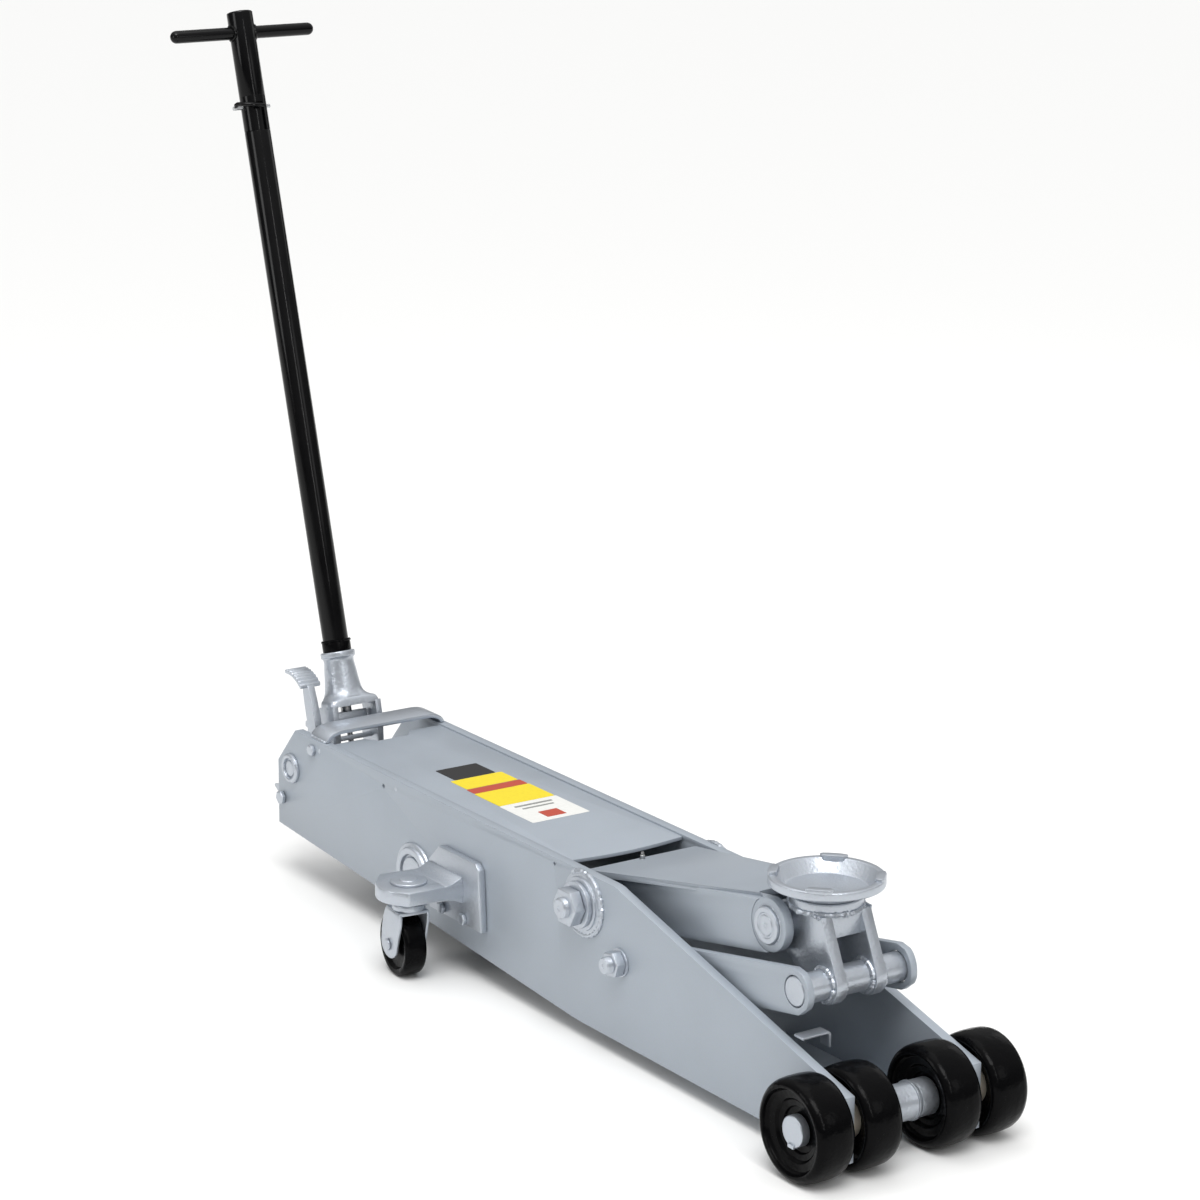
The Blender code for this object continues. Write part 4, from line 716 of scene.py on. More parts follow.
# --- Trunnions and handle pins ---
# Stepped discs welded to the plates carry the cylinder, and flanged stub pins carry the handle socket.
TRUNNION = (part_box("trunnion_pin_right")[0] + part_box("trunnion_pin_right")[1]) / 2
HANDLE_PIVOT = PIVOT["handle_tilt"]
for side, word in ((-1, "right"), (1, "left")):
    disc = [
        (0, PLATE_OUT + 0.0066), (0.0040, PLATE_OUT + 0.0066), (0.0050, PLATE_OUT + 0.0076),
        (0.0290, PLATE_OUT + 0.0076), (0.0300, PLATE_OUT + 0.0066),
    ]
    disc += [
        (0.0300, PLATE_OUT + 0.0030), (0.0345, PLATE_OUT + 0.0030), (0.0350, PLATE_OUT + 0.0090),
        (0.0365, PLATE_OUT + 0.0100),
    ]
    disc += [
        (0.0450, PLATE_OUT + 0.0100), (0.0465, PLATE_OUT + 0.0088), (0.0470, PLATE_OUT + 0.0052),
        (0.0530, PLATE_OUT + 0.0046),
    ]
    disc += [(0.0545, PLATE_OUT + 0.0002), (0.0200, PLATE_OUT + 0.0002), (0.0200, 0.0640), (0, 0.0640)]
    disc = [(r, side * h) for r, h in disc]
    name = f"trunnion_pin_{word}"
    centre = Vector((TRUNNION[0], 0, TRUNNION[2]))
    piece(f"{name}_disc", spun(disc, centre, steps=80), casting_enamel, "chassis", name, name)
    pin = [
        (0, PLATE_OUT + 0.0046), (0.0128, PLATE_OUT + 0.0046), (0.0136, PLATE_OUT + 0.0038),
        (0.0136, PLATE_OUT + 0.0012), (0.0176, PLATE_OUT + 0.0012),
    ]
    pin += [
        (0.0180, PLATE_OUT + 0.0064), (0.0196, PLATE_OUT + 0.0074), (0.0236, PLATE_OUT + 0.0070),
        (0.0262, PLATE_OUT + 0.0046),
    ]
    pin += [(0.0265, PLATE_OUT + 0.0002), (0.0145, PLATE_OUT + 0.0002), (0.0145, 0.0366), (0, 0.0366)]
    pin = [(r, side * h) for r, h in pin]
    name = f"handle_pivot_pin_{word}"
    piece(f"{name}_flange", spun(pin, HANDLE_PIVOT), casting_enamel, "chassis", name, name)


# --- Lift arm ---
# A welded box: a tapered top plate over two webs, with a hub tube at the main pivot and two round ears at the
# saddle end. The horn plates that the ram pushes hang under the hub.
SADDLE_PIVOT = PIVOT["bracket_level"]
ARM_RUN = SADDLE_PIVOT - ARM_PIVOT
ARM_LENGTH = ARM_RUN.length
ARM_ANGLE = math.atan2(ARM_RUN.z, ARM_RUN.x)
ON_ARM = Matrix.Translation(ARM_PIVOT) @ Matrix.Rotation(-ARM_ANGLE, 4, "Y")
EAR_IN, EAR_OUT = 0.0575, 0.0735
BARREL_R = 0.041
PIN_R = 0.0225
HORN_PIN = (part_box("horn_pin")[0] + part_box("horn_pin")[1]) / 2
HORN_PIN = Vector((HORN_PIN[0], 0, HORN_PIN[2]))
TOP_SKIN = 0.010
ARM_TOP = 0.0470
ARM_FALL = math.atan2(ARM_TOP - BARREL_R, ARM_LENGTH)
for side, word in ((-1, "right"), (1, "left")):
    low, high = sorted((side * EAR_IN, side * EAR_OUT))
    around_ear = arc((ARM_LENGTH, 0), BARREL_R + 0.0004, 262, 118, 18)
    web = [*arc((0, 0), 0.0440, 100, 270, 16), (0.050, -0.0430), (ARM_LENGTH - 0.016, -0.0430), *around_ear]
    web_bm = slab(web, low, high, [ring((0, 0), 0.0232)], ON_ARM @ SWAP_YZ, 0.0015)
    nodes = ("lift_arm",) if side < 0 else ()
    piece(f"lift_arm_web_{word}", web_bm, plate_enamel, "lift_arm", "lift_arm", *nodes)
    ear_profile = [
        (BARREL_R, side * EAR_OUT), (BARREL_R, side * EAR_IN), (PIN_R + 0.0005, side * EAR_IN),
        (PIN_R + 0.0005, side * EAR_OUT),
    ]
    ear_bm = spun(ear_profile, SADDLE_PIVOT, closed=True, soft=0.0018, steps=72)
    piece(f"lift_arm_ear_{word}", ear_bm, plate_enamel, "lift_arm", "lift_arm")
    horn_turn = math.degrees(math.atan2(HORN_PIN.z - ARM_PIVOT.z, HORN_PIN.x - ARM_PIVOT.x))
    horn_outline = [*arc((HORN_PIN.x, HORN_PIN.z), 0.027, horn_turn - 90, horn_turn + 90, 20)]
    horn_outline += arc((ARM_PIVOT.x, ARM_PIVOT.z), 0.038, horn_turn + 100, horn_turn + 260, 14)
    low, high = sorted((side * 0.034, side * 0.050))
    bores = [ring((HORN_PIN.x, HORN_PIN.z), 0.0146), ring((ARM_PIVOT.x, ARM_PIVOT.z), 0.0232)]
    piece(f"horn_plate_{word}", slab(horn_outline, low, high, bores), plate_enamel, "lift_arm", "lift_arm")

arm_taper = [(-0.016, 0.1030), (0.380, EAR_OUT), (ARM_LENGTH - 0.004, EAR_OUT)]
slot_start = ARM_LENGTH - 0.045
arm_top = [
    *arm_taper, (ARM_LENGTH - 0.004, EAR_IN), (slot_start + 0.012, EAR_IN),
    *arc((slot_start + 0.012, EAR_IN - 0.012), 0.012, 90, 180, 5),
]
arm_top += [(x, -y) for x, y in reversed(arm_top)]
arm_top_place = ON_ARM @ Matrix.Translation((0, 0, ARM_TOP - TOP_SKIN)) @ Matrix.Rotation(ARM_FALL, 4, "Y")
piece(
    "lift_arm_top_plate", slab(arm_top, 0, TOP_SKIN, (), arm_top_place, 0.0022), plate_enamel,
    "lift_arm", "lift_arm",
)
hub_profile = [(0.0434, 0.0855), (0.0434, -0.0855), (0.0232, -0.0855), (0.0232, 0.0855)]
piece("lift_arm_hub", spun(hub_profile, ARM_PIVOT, closed=True), plate_enamel, "lift_arm", "lift_arm")
brace = [(0.130, -EAR_IN - 0.002), (0.142, -EAR_IN - 0.002), (0.142, EAR_IN + 0.002), (0.130, EAR_IN + 0.002)]
piece("lift_arm_brace", slab(brace, -0.030, 0.037, (), ON_ARM), plate_enamel, "lift_arm", "lift_arm")

pin_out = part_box("saddle_pivot_pin")[1][1]
pin_half = [
    (0, pin_out - 0.0010), (0.0030, pin_out - 0.0010), (0.0038, pin_out), (0.0150, pin_out),
    (0.0160, pin_out - 0.0016),
]
pin_half += [
    (0.0188, pin_out - 0.0016), (0.0198, pin_out), (0.0268, pin_out), (0.0282, pin_out - 0.0012),
    (0.0282, EAR_OUT + 0.0004), (PIN_R, EAR_OUT + 0.0002),
]
pin_profile = [*pin_half, *[(r, -h) for r, h in reversed(pin_half)]]
piece(
    "saddle_pivot_pin_head", spun(pin_profile, SADDLE_PIVOT, soft=0.0004), casting_enamel, "lift_arm",
    "saddle_pivot_pin", "saddle_pivot_pin",
)
for side, word in ((-1, "right"), (1, "left")):
    lip = [
        Vector((x, side * (EAR_OUT - 0.001), z))
        for x, z in arc((SADDLE_PIVOT.x, SADDLE_PIVOT.z), 0.0292, -40, 320, 80)
    ]
    piece(f"pin_head_weld_{word}", rope_of(lip, 0.0018, 0.5, 8), casting_enamel, "lift_arm", "lift_arm")

# A grease nipple is screwed into the rear of the top plate, over the hub.
nipple = [
    (0, 0.0125), (0.0022, 0.0118), (0.0030, 0.0095), (0.0020, 0.0080), (0.0042, 0.0062),
    (0.0042, 0.0010), (0.0050, 0), (0, 0),
]
nipple_at = Vector((AXLE.x - 0.6265, -0.005, 0.2695))
piece("grease_nipple", spun(nipple, nipple_at, "Z", 32, 0), bare_steel, "lift_arm", "lift_arm")


# --- Radius links ---
# A flat bar on each side keeps the saddle level. Its rear eye turns on the shoulder bolt, and its rounded
# nose hangs on the cross shaft.
LINK_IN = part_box("radius_link_left")[0][1]
LINK_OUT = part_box("radius_link_left")[1][1]
LINK_H = 0.035
LINK_END = LINK_PIVOT + ARM_RUN
ON_LINK = Matrix.Translation(LINK_PIVOT) @ Matrix.Rotation(-ARM_ANGLE, 4, "Y") @ SWAP_YZ
nose = [(0.012, -LINK_H), (0.031, -0.018), (0.034, 0.004), (0.028, 0.022), (0.014, LINK_H)]
nose = [(0.004, -LINK_H), *eased(nose, 0.010)[5:-5], (0.004, LINK_H)]
link_outline = [*arc((0, 0), LINK_H - 0.002, 90, 270, 20), *[(ARM_LENGTH + x, z) for x, z in nose]]
link_holes = [ring((0, 0), 0.0151), ring((ARM_LENGTH, 0), PIN_R + 0.0015)]
for side, word in ((-1, "right"), (1, "left")):
    low, high = sorted((side * LINK_IN, side * LINK_OUT))
    name = f"radius_link_{word}"
    piece(
        f"{name}_bar", slab(link_outline, low, high, link_holes, ON_LINK, 0.0014), plate_enamel,
        "radius_links", name, name,
    )


# --- Saddle bracket and cross shaft ---
# Two burnt plates joined by a front web stand on the cross shaft and hang from the arm's pin. A turned ring
# for the saddle is welded on top, and collars are welded round the shaft.
SADDLE_LOW, SADDLE_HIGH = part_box("saddle")
SADDLE = Vector(((SADDLE_LOW[0] + SADDLE_HIGH[0]) / 2, 0, SADDLE_HIGH[2] - 0.004))
NECK_Z = 0.330
LEG_IN, LEG_OUT = 0.0265, 0.0460
foot = arc((LINK_END.x, LINK_END.z), 0.0310, -125, 20, 20)
back = arc((SADDLE_PIVOT.x, SADDLE_PIVOT.z), 0.0330, 150, 245, 16)
leg_outline = [
    *foot, (SADDLE.x + 0.050, NECK_Z - 0.004), (SADDLE.x + 0.048, NECK_Z + 0.002),
    (SADDLE.x - 0.048, NECK_Z + 0.002), *back,
]
leg_holes = [
    ring((SADDLE_PIVOT.x, SADDLE_PIVOT.z), PIN_R + 0.0006),
    ring((LINK_END.x, LINK_END.z), PIN_R + 0.0004),
]
for side, word in ((-1, "right"), (1, "left")):
    low, high = sorted((side * LEG_IN, side * LEG_OUT))
    leg_nodes = ("saddle_bracket",) if side < 0 else ()
    leg_bm = slab(leg_outline, low, high, leg_holes, soft=0.0018)
    piece(
        f"saddle_bracket_leg_{word}", leg_bm, casting_enamel, "saddle_bracket", "saddle_bracket",
        *leg_nodes,
    )
    neck_seam = straight(
        (SADDLE.x - 0.040, side * (LEG_OUT + 0.001), NECK_Z + 0.001),
        (SADDLE.x + 0.046, side * (LEG_OUT + 0.001), NECK_Z + 0.001), 34,
    )
    piece(
        f"neck_weld_{word}", rope_of(neck_seam, 0.0032, 0.5, 8), casting_enamel, "saddle_bracket",
        "saddle_bracket",
    )
for face, depth in (("outer", LEG_OUT + 0.0012), ("inner", LEG_IN - 0.0012)):
    for side, word in ((-1, "right"), (1, "left")):
        around = arc((LINK_END.x, LINK_END.z), PIN_R + 0.0016, 0, 360, 60)
        collar = rope_of([Vector((x, side * depth, z)) for x, z in around], 0.0040, 0.55, 8)
        piece(f"cross_shaft_weld_{face}_{word}", collar, casting_enamel, "saddle_bracket", "cross_shaft")
neck_ring = [
    Vector((SADDLE.x + 0.0535 * math.cos(a), 0.0535 * math.sin(a), NECK_Z + 0.0022))
    for a in (math.tau * i / 110 for i in range(111))
]
piece(
    "neck_ring_weld", rope_of(neck_ring, 0.0046, 0.6, 8), casting_enamel, "saddle_bracket",
    "saddle_bracket",
)
web_outline = [
    (SADDLE.x + 0.036, 0.292), (SADDLE.x + 0.048, 0.296), (SADDLE.x + 0.049, NECK_Z + 0.001),
    (SADDLE.x + 0.038, NECK_Z + 0.001),
]
web_bm = slab(web_outline, -LEG_IN - 0.001, LEG_IN + 0.001)
piece("saddle_bracket_web", web_bm, casting_enamel, "saddle_bracket", "saddle_bracket")
neck = [
    (0.0205, 0.0180), (0.0530, 0.0180), (0.0545, 0.0165), (0.0545, 0.0020), (0.0530, 0.0005),
    (0.0205, 0.0005),
]
neck_bm = spun(neck, Vector((SADDLE.x, 0, NECK_Z)), "Z", closed=True, steps=80)
piece("saddle_bracket_neck", neck_bm, casting_enamel, "saddle_bracket", "saddle_bracket")
SHAFT_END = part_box("cross_shaft")[1][1]
shaft_half = [
    (0, SHAFT_END), (PIN_R - 0.0015, SHAFT_END), (PIN_R, SHAFT_END - 0.0015), (PIN_R, 0.0550),
    (PIN_R, 0),
]
shaft_profile = [*shaft_half, *[(r, -h) for r, h in reversed(shaft_half[:-1])]]
piece(
    "cross_shaft_bar", spun(shaft_profile, LINK_END), casting_enamel, "saddle_bracket", "cross_shaft",
    "cross_shaft",
)


# --- Saddle ---
# A cast cup with a flat floor, a sloping wall and four raised lugs round its rim. It turns freely in the
# neck.
RIM = SADDLE.z
cup_half = [
    (0, -0.0200), (0.0605, -0.0200), (0.0630, -0.0186), (0.0755, -0.0010), (0.0770, 0), (0.0845, 0),
    (0.0862, -0.0012),
]
cup_half += [
    (0.0866, -0.0030), (0.0866, -0.0115), (0.0855, -0.0135), (0.0760, -0.0165), (0.0600, -0.0205),
    (0.0545, -0.0235), (0.0520, -0.0281),
]
cup_half += [(0.0195, -0.0283), (0.0195, -0.0420), (0, -0.0420)]
saddle_at = Vector((SADDLE.x, 0, RIM))
piece("saddle_cup", spun(cup_half, saddle_at, "Z", 96, 0.0005), casting_enamel, "saddle", "saddle", "saddle")
lug_face = [(0.0715, -0.0150), (0.0745, -0.0185), (0.0822, -0.0215), (0.0845, -0.0170), (0.0860, -0.0090)]
lug_face = [*lug_face, *[(x, -y) for x, y in reversed(lug_face)]]
for quarter in range(4):
    lug_turn = Matrix.Translation(saddle_at) @ Matrix.Rotation(math.pi / 4 + math.pi / 2 * quarter, 4, "Z")
    lug_bm = slab(lug_face, -0.0050, 0.0040, (), lug_turn, 0.0016)
    piece(f"saddle_lug_{quarter}", lug_bm, casting_enamel, "saddle", "saddle")


# --- Handle socket ---
# A casting that flares from a collared sleeve into a yoke. Its two ears turn on the stub pins, and a
# roller pin between their tongues works the pump.
HANDLE_LEAN = math.radians(16.1)
LEAN = Matrix.Rotation(-HANDLE_LEAN, 4, "Y")
LEANING = Matrix.Translation(HANDLE_PIVOT) @ LEAN
HANDLE_R = 0.0225
COLLAR_TOP = 0.1857
YOKE_LOW = 0.0905
YOKE_HALF = 0.0485
EAR_WALL = 0.011
CAM_DROP = 0.045


def yoke_section(height, radius, spread, squareness=7.0, count=64):
    """A slice of the flare, between the round sleeve and the squared head of the yoke."""
    points = []
    for i in range(count):
        a = math.tau * (i + 0.5) / count
        cos_a, sin_a = math.cos(a), math.sin(a)
        square_b = 0.016 + 0.024 * math.copysign(abs(cos_a) ** (2 / squareness), cos_a)
        square_y = YOKE_HALF * math.copysign(abs(sin_a) ** (2 / squareness), sin_a)
        sleeve_b, sleeve_y = radius * cos_a, radius * sin_a
        points.append(
            (sleeve_b + (square_b - sleeve_b) * spread, sleeve_y + (square_y - sleeve_y) * spread, height)
        )
    return points


FLARE = (
    (0.1500, 0.0283, 0.0),
    (0.1380, 0.0296, 0.0),
    (0.1280, 0.0308, 0.005),
    (0.1210, 0.0317, 0.015),
    (0.1160, 0.0325, 0.04),
    (0.1120, 0.0332, 0.10),
    (0.1088, 0.0336, 0.22),
    (0.1064, 0.0338, 0.38),
    (0.1048, 0.0310, 0.58),
    (0.1036, 0.0310, 0.72),
    (0.1022, 0.0310, 0.82),
    (0.1000, 0.0310, 0.90),
    (0.0972, 0.0310, 0.955),
    (0.0940, 0.0310, 0.99),
    (YOKE_LOW, 0.0310, 1.0),
)
flare = [yoke_section(*slice_at) for slice_at in FLARE]
piece(
    "handle_socket_flare", loft(flare, LEANING), casting_enamel, "handle_socket", "handle_socket",
    "handle_socket",
)
sleeve = [
    (HANDLE_R + 0.0004, 0.1300), (HANDLE_R + 0.0004, COLLAR_TOP), (0.0290, COLLAR_TOP),
    (0.0302, COLLAR_TOP - 0.0015),
]
sleeve += [
    (0.0302, COLLAR_TOP - 0.0085), (0.0290, COLLAR_TOP - 0.0105), (0.0266, COLLAR_TOP - 0.0125),
    (0.0260, COLLAR_TOP - 0.0180),
]
sleeve += [(0.0284, 0.1500), (0.0298, 0.1350), (0.0262, 0.1300)]
sleeve_bm = spun(sleeve, HANDLE_PIVOT, closed=True, lean=LEAN, steps=80)
piece("handle_socket_sleeve", sleeve_bm, casting_enamel, "handle_socket", "handle_socket")
ear_outline = [
    (0.0400, YOKE_LOW + 0.003), (0.0385, 0.060), *arc((0, 0), 0.025, 0, -50, 8),
    *arc((0, -CAM_DROP), 0.0145, 0, -180, 18),
]
ear_outline += [
    *arc((0, 0), 0.025, -130, -180, 8), (-0.022, 0.045), (-0.0085, 0.070), (-0.0080, YOKE_LOW + 0.003)
]
LEANING_SIDE = LEANING @ SWAP_YZ
for side, word in ((-1, "right"), (1, "left")):
    low, high = sorted((side * (YOKE_HALF - EAR_WALL), side * YOKE_HALF))
    yoke_ear = slab(ear_outline, low, high, [ring((0, 0), 0.0151)], LEANING_SIDE, 0.0018)
    piece(f"handle_socket_ear_{word}", yoke_ear, casting_enamel, "handle_socket", "handle_socket")
roller = [
    (0, YOKE_HALF - 0.002), (0.0120, YOKE_HALF - 0.002), (0.0120, -YOKE_HALF + 0.002),
    (0, -YOKE_HALF + 0.002),
]
roller_at = LEANING @ Vector((0, 0, -CAM_DROP))
piece("pump_roller_pin", spun(roller, roller_at), bare_steel, "handle_socket", "handle_socket")
guide_bm = slab(
    [(-0.010, 0.030), (0.010, 0.030), (0.010, 0.038), (-0.010, 0.038)], -0.0400, 0.0400, (),
    LEANING_SIDE,
)
piece("push_pin_guide", guide_bm, casting_enamel, "handle_socket", "handle_socket")
cam_outline = [
    (0.014, -0.033), (0.014, 0.033), (-0.014, 0.033), (-0.014, 0.012), (-0.005, 0.002),
    (-0.014, -0.008), (-0.014, -0.033),
]
cam_bm = slab(cam_outline, 0.0560, 0.0800, (), LEANING, 0.0012)
piece("release_cam_block", cam_bm, casting_enamel, "handle", "release_cam", "release_cam")
stem = [(0, 0.0760), (0.0096, 0.0760), (0.0096, YOKE_LOW + 0.004), (0, YOKE_LOW + 0.004)]
piece("release_cam_stem", spun(stem, HANDLE_PIVOT, lean=LEAN), bare_steel, "handle", "release_cam")


# --- Foot pedal ---
# A cast pedal beside the socket. A ribbed, curved pad stands on a T-section stem, over a hub on the
# right stub.
PEDAL_LOW, PEDAL_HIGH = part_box("foot_pedal")
PEDAL_MID = (PEDAL_LOW[1] + PEDAL_HIGH[1]) / 2
pad_centre = (HANDLE_PIVOT.x - 0.0676, HANDLE_PIVOT.z + 0.0843)
pad_under = arc(pad_centre, 0.0632, 47, 98, 28)
pad_top = []
for step in range(57):
    rib_turn = 98 - 51 * step / 56
    rib = 0.0680 + 0.0022 * abs(math.sin(math.pi * step / 8))
    pad_top += arc(pad_centre, rib, rib_turn, rib_turn, 1)[:1]
pedal_pad = slab([*pad_top, *pad_under], PEDAL_LOW[1], PEDAL_HIGH[1], soft=0.0004)
piece("foot_pedal_pad", pedal_pad, casting_enamel, "foot_pedal", "foot_pedal", "foot_pedal")
hub_x, hub_z = HANDLE_PIVOT.x, HANDLE_PIVOT.z
stem_front = [
    (0.010, 0.022), (0.008, 0.050), (0.001, 0.080), (-0.008, 0.106), (-0.016, 0.124), (-0.022, 0.136)
]
stem_back = [(-0.044, 0.146), (-0.044, 0.126), (-0.040, 0.105), (-0.034, 0.082), (-0.0305, 0.070)]
rear_lug = [(-0.0355, 0.068), (-0.0355, 0.059), (-0.0285, 0.057), (-0.0270, 0.040), (-0.022, 0.010)]
stem_outline = [(hub_x + x, hub_z + z) for x, z in (*stem_front, *stem_back, *rear_lug)]
stem_bm = slab(stem_outline, PEDAL_MID - 0.0038, PEDAL_MID + 0.0038, soft=0.0010)
piece("foot_pedal_stem", stem_bm, casting_enamel, "foot_pedal", "foot_pedal")
flange_back = [(x - 0.0045, z - 0.001) for x, z in reversed(stem_front)]
flange_outline = [
    (hub_x + x, hub_z + z)
    for x, z in (*[(x + 0.0005, z) for x, z in stem_front], *flange_back)
]
flange_bm = slab(flange_outline, PEDAL_MID - 0.0068, PEDAL_MID + 0.0068, soft=0.0012)
piece("foot_pedal_flange", flange_bm, casting_enamel, "foot_pedal", "foot_pedal")
pedal_hub = [(0.0151, PEDAL_HIGH[1]), (0.0238, PEDAL_HIGH[1]), (0.0238, PEDAL_LOW[1]), (0.0151, PEDAL_LOW[1])]
piece(
    "foot_pedal_hub", spun(pedal_hub, HANDLE_PIVOT, closed=True), casting_enamel, "foot_pedal",
    "foot_pedal",
)


# --- Handle ---
# Two black enamelled tubes, the upper one slotted so that it drops over the spigot of the lower one and turns
# home under the hooked pin. A round cross bar is welded through its head.
HANDLE_JOINT = 1.100
HANDLE_TOP = 1.3087
T_BAR_AT = 1.2718
T_BAR_R = 0.011
LOCK_AT = 1.142
SPIGOT_R = 0.0190
handle_black = black_gloss("gloss_black_on_tube", 28, 0.00012, 0.12, 0.20)
lower = [(0.0160, 0.1040), (HANDLE_R - 0.0002, 0.1040), (HANDLE_R - 0.0002, COLLAR_TOP + 0.0200)]
lower += [
    (HANDLE_R, COLLAR_TOP + 0.0210), (HANDLE_R, HANDLE_JOINT - 0.0010),
    (HANDLE_R - 0.0010, HANDLE_JOINT),
]
lower += [
    (SPIGOT_R, HANDLE_JOINT + 0.0001), (SPIGOT_R, HANDLE_JOINT + 0.0700),
    (0.0160, HANDLE_JOINT + 0.0700),
]
lower_bm = spun(lower, HANDLE_PIVOT, closed=True, lean=LEAN, soft=0.0003)
piece("handle_lower", lower_bm, handle_black, "handle", "handle_lower_tube", "handle_lower_tube")
black_ring = [
    (HANDLE_R, COLLAR_TOP + 0.0006), (0.0246, COLLAR_TOP + 0.0006), (0.0250, COLLAR_TOP + 0.0020),
    (0.0250, COLLAR_TOP + 0.0165),
]
black_ring += [(0.0244, COLLAR_TOP + 0.0185), (0.0232, COLLAR_TOP + 0.0195), (HANDLE_R, COLLAR_TOP + 0.0200)]
ring_bm = spun(black_ring, HANDLE_PIVOT, closed=True, lean=LEAN)
piece("handle_foot_ring", ring_bm, gloss_black_and_painted_shade, "handle", "handle_lower_tube")
ring_lip = [
    LEANING @ Vector((0.0243 * math.cos(a), 0.0243 * math.sin(a), COLLAR_TOP + 0.0185))
    for a in (math.tau * i / 64 for i in range(65))
]
piece("handle_ring_weld", rope_of(ring_lip, 0.0020, 0.6, 8), gloss_black_and_painted_shade, "handle", "handle_lower_tube")

# The sleeve of the upper tube is a sheet with the J-shaped slot left out, rolled up, joined and thickened.
SLEEVE_TOP = HANDLE_JOINT + 0.060
ROWS, SEAMS = 30, 72
sleeve_grid = bmesh.new()
bmesh.ops.create_grid(sleeve_grid, x_segments=SEAMS, y_segments=ROWS, size=0.5)
slot_faces = []
for face in sleeve_grid.faces:
    middle = face.calc_center_median()
    turn_deg = (middle.x + 0.5) * 360 - 180
    up = HANDLE_JOINT + (middle.y + 0.5) * (SLEEVE_TOP - HANDLE_JOINT)
    entry = abs(turn_deg - 97) < 12 and up < LOCK_AT + 0.0055
    return_leg = 60 < turn_deg < 97 and LOCK_AT - 0.0055 < up < LOCK_AT + 0.0055
    if entry or return_leg:
        slot_faces.append(face)
bmesh.ops.delete(sleeve_grid, geom=slot_faces, context="FACES")
for vert in sleeve_grid.verts:
    around = (vert.co.x + 0.5) * math.tau - math.pi
    up = HANDLE_JOINT + 0.0004 + (vert.co.y + 0.5) * (SLEEVE_TOP - HANDLE_JOINT)
    vert.co = Vector((HANDLE_R * math.sin(around), -HANDLE_R * math.cos(around), up))
bmesh.ops.remove_doubles(sleeve_grid, verts=sleeve_grid.verts[:], dist=1e-5)
bmesh.ops.recalc_face_normals(sleeve_grid, faces=sleeve_grid.faces[:])
bmesh.ops.solidify(sleeve_grid, geom=sleeve_grid.faces[:], thickness=0.0028)
piece("handle_upper_sleeve", settle(sleeve_grid, LEANING), handle_black, "handle", "handle_upper_tube")
upper = [
    (0, HANDLE_TOP), (HANDLE_R - 0.0035, HANDLE_TOP), (HANDLE_R - 0.0010, HANDLE_TOP - 0.0010),
    (HANDLE_R, HANDLE_TOP - 0.0030),
]
upper += [
    (HANDLE_R, SLEEVE_TOP + 0.0004), (SPIGOT_R + 0.0007, SLEEVE_TOP + 0.0004),
    (SPIGOT_R + 0.0007, HANDLE_TOP - 0.0060), (0, HANDLE_TOP - 0.0060),
]
upper_bm = spun(upper, HANDLE_PIVOT, lean=LEAN, soft=0.0003)
piece("handle_upper", upper_bm, handle_black, "handle", "handle_upper_tube", "handle_upper_tube")
BAR_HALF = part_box("t_bar")[1][1]
BAR_AT = LEANING @ Vector((0, 0, T_BAR_AT))
bar_end = [
    (T_BAR_R * math.sin(a), BAR_HALF - T_BAR_R + T_BAR_R * math.cos(a))
    for a in (math.pi / 16 * i for i in range(9))
]
bar_profile = [*bar_end, *[(r, -h) for r, h in reversed(bar_end)]]
piece(
    "handle_cross_bar", spun(bar_profile, BAR_AT, soft=0, steps=48), handle_black, "handle", "t_bar",
    "t_bar",
)
for side, word in ((-1, "right"), (1, "left")):
    bead = []
    for i in range(41):
        a = math.tau * i / 40
        b_offset, t_offset = (T_BAR_R + 0.0012) * math.cos(a), (T_BAR_R + 0.0012) * math.sin(a)
        bead.append(
            LEANING @ Vector(
                (b_offset, side * (math.sqrt(HANDLE_R**2 - b_offset**2) + 0.0004), T_BAR_AT + t_offset)
            )
        )
    piece(f"cross_bar_weld_{word}", rope_of(bead, 0.0026, 0.5, 8), handle_black, "handle", "t_bar")

# The lock pin is a steel rod through the tubes. A black clip is bent round from its head to the slot in
# front.
zinc = silver_enamel("bright_zinc_plate", "#C9CBCD", 0.24, 2.0, 0.00003, 0.95)
pin_path = [LEANING @ Vector((0, y, LOCK_AT)) for y in (0.0310, 0.0, -0.0240, -0.0400)]
piece(
    "handle_lock_rod", rope_of(pin_path, 0.0036, 0.0, 16), zinc, "lock_pin", "handle_lock_pin",
    "handle_lock_pin",
)
clip = [
    (0.0010, -0.0350, 0.0050), (0.0070, -0.0345, 0.0062), (0.0140, -0.0320, 0.0052),
    (0.0200, -0.0260, 0.0035), (0.0245, -0.0180, 0.0020),
]
clip += [(0.0272, -0.0090, 0.0005), (0.0282, 0.0010, -0.0010), (0.0278, 0.0060, -0.0022)]
clip_path = [LEANING @ Vector((b, y, LOCK_AT + t)) for b, y, t in clip]
piece("handle_lock_clip", rope_of(clip_path, 0.0036, 0.0, 16), handle_black, "lock_pin", "handle_lock_pin")


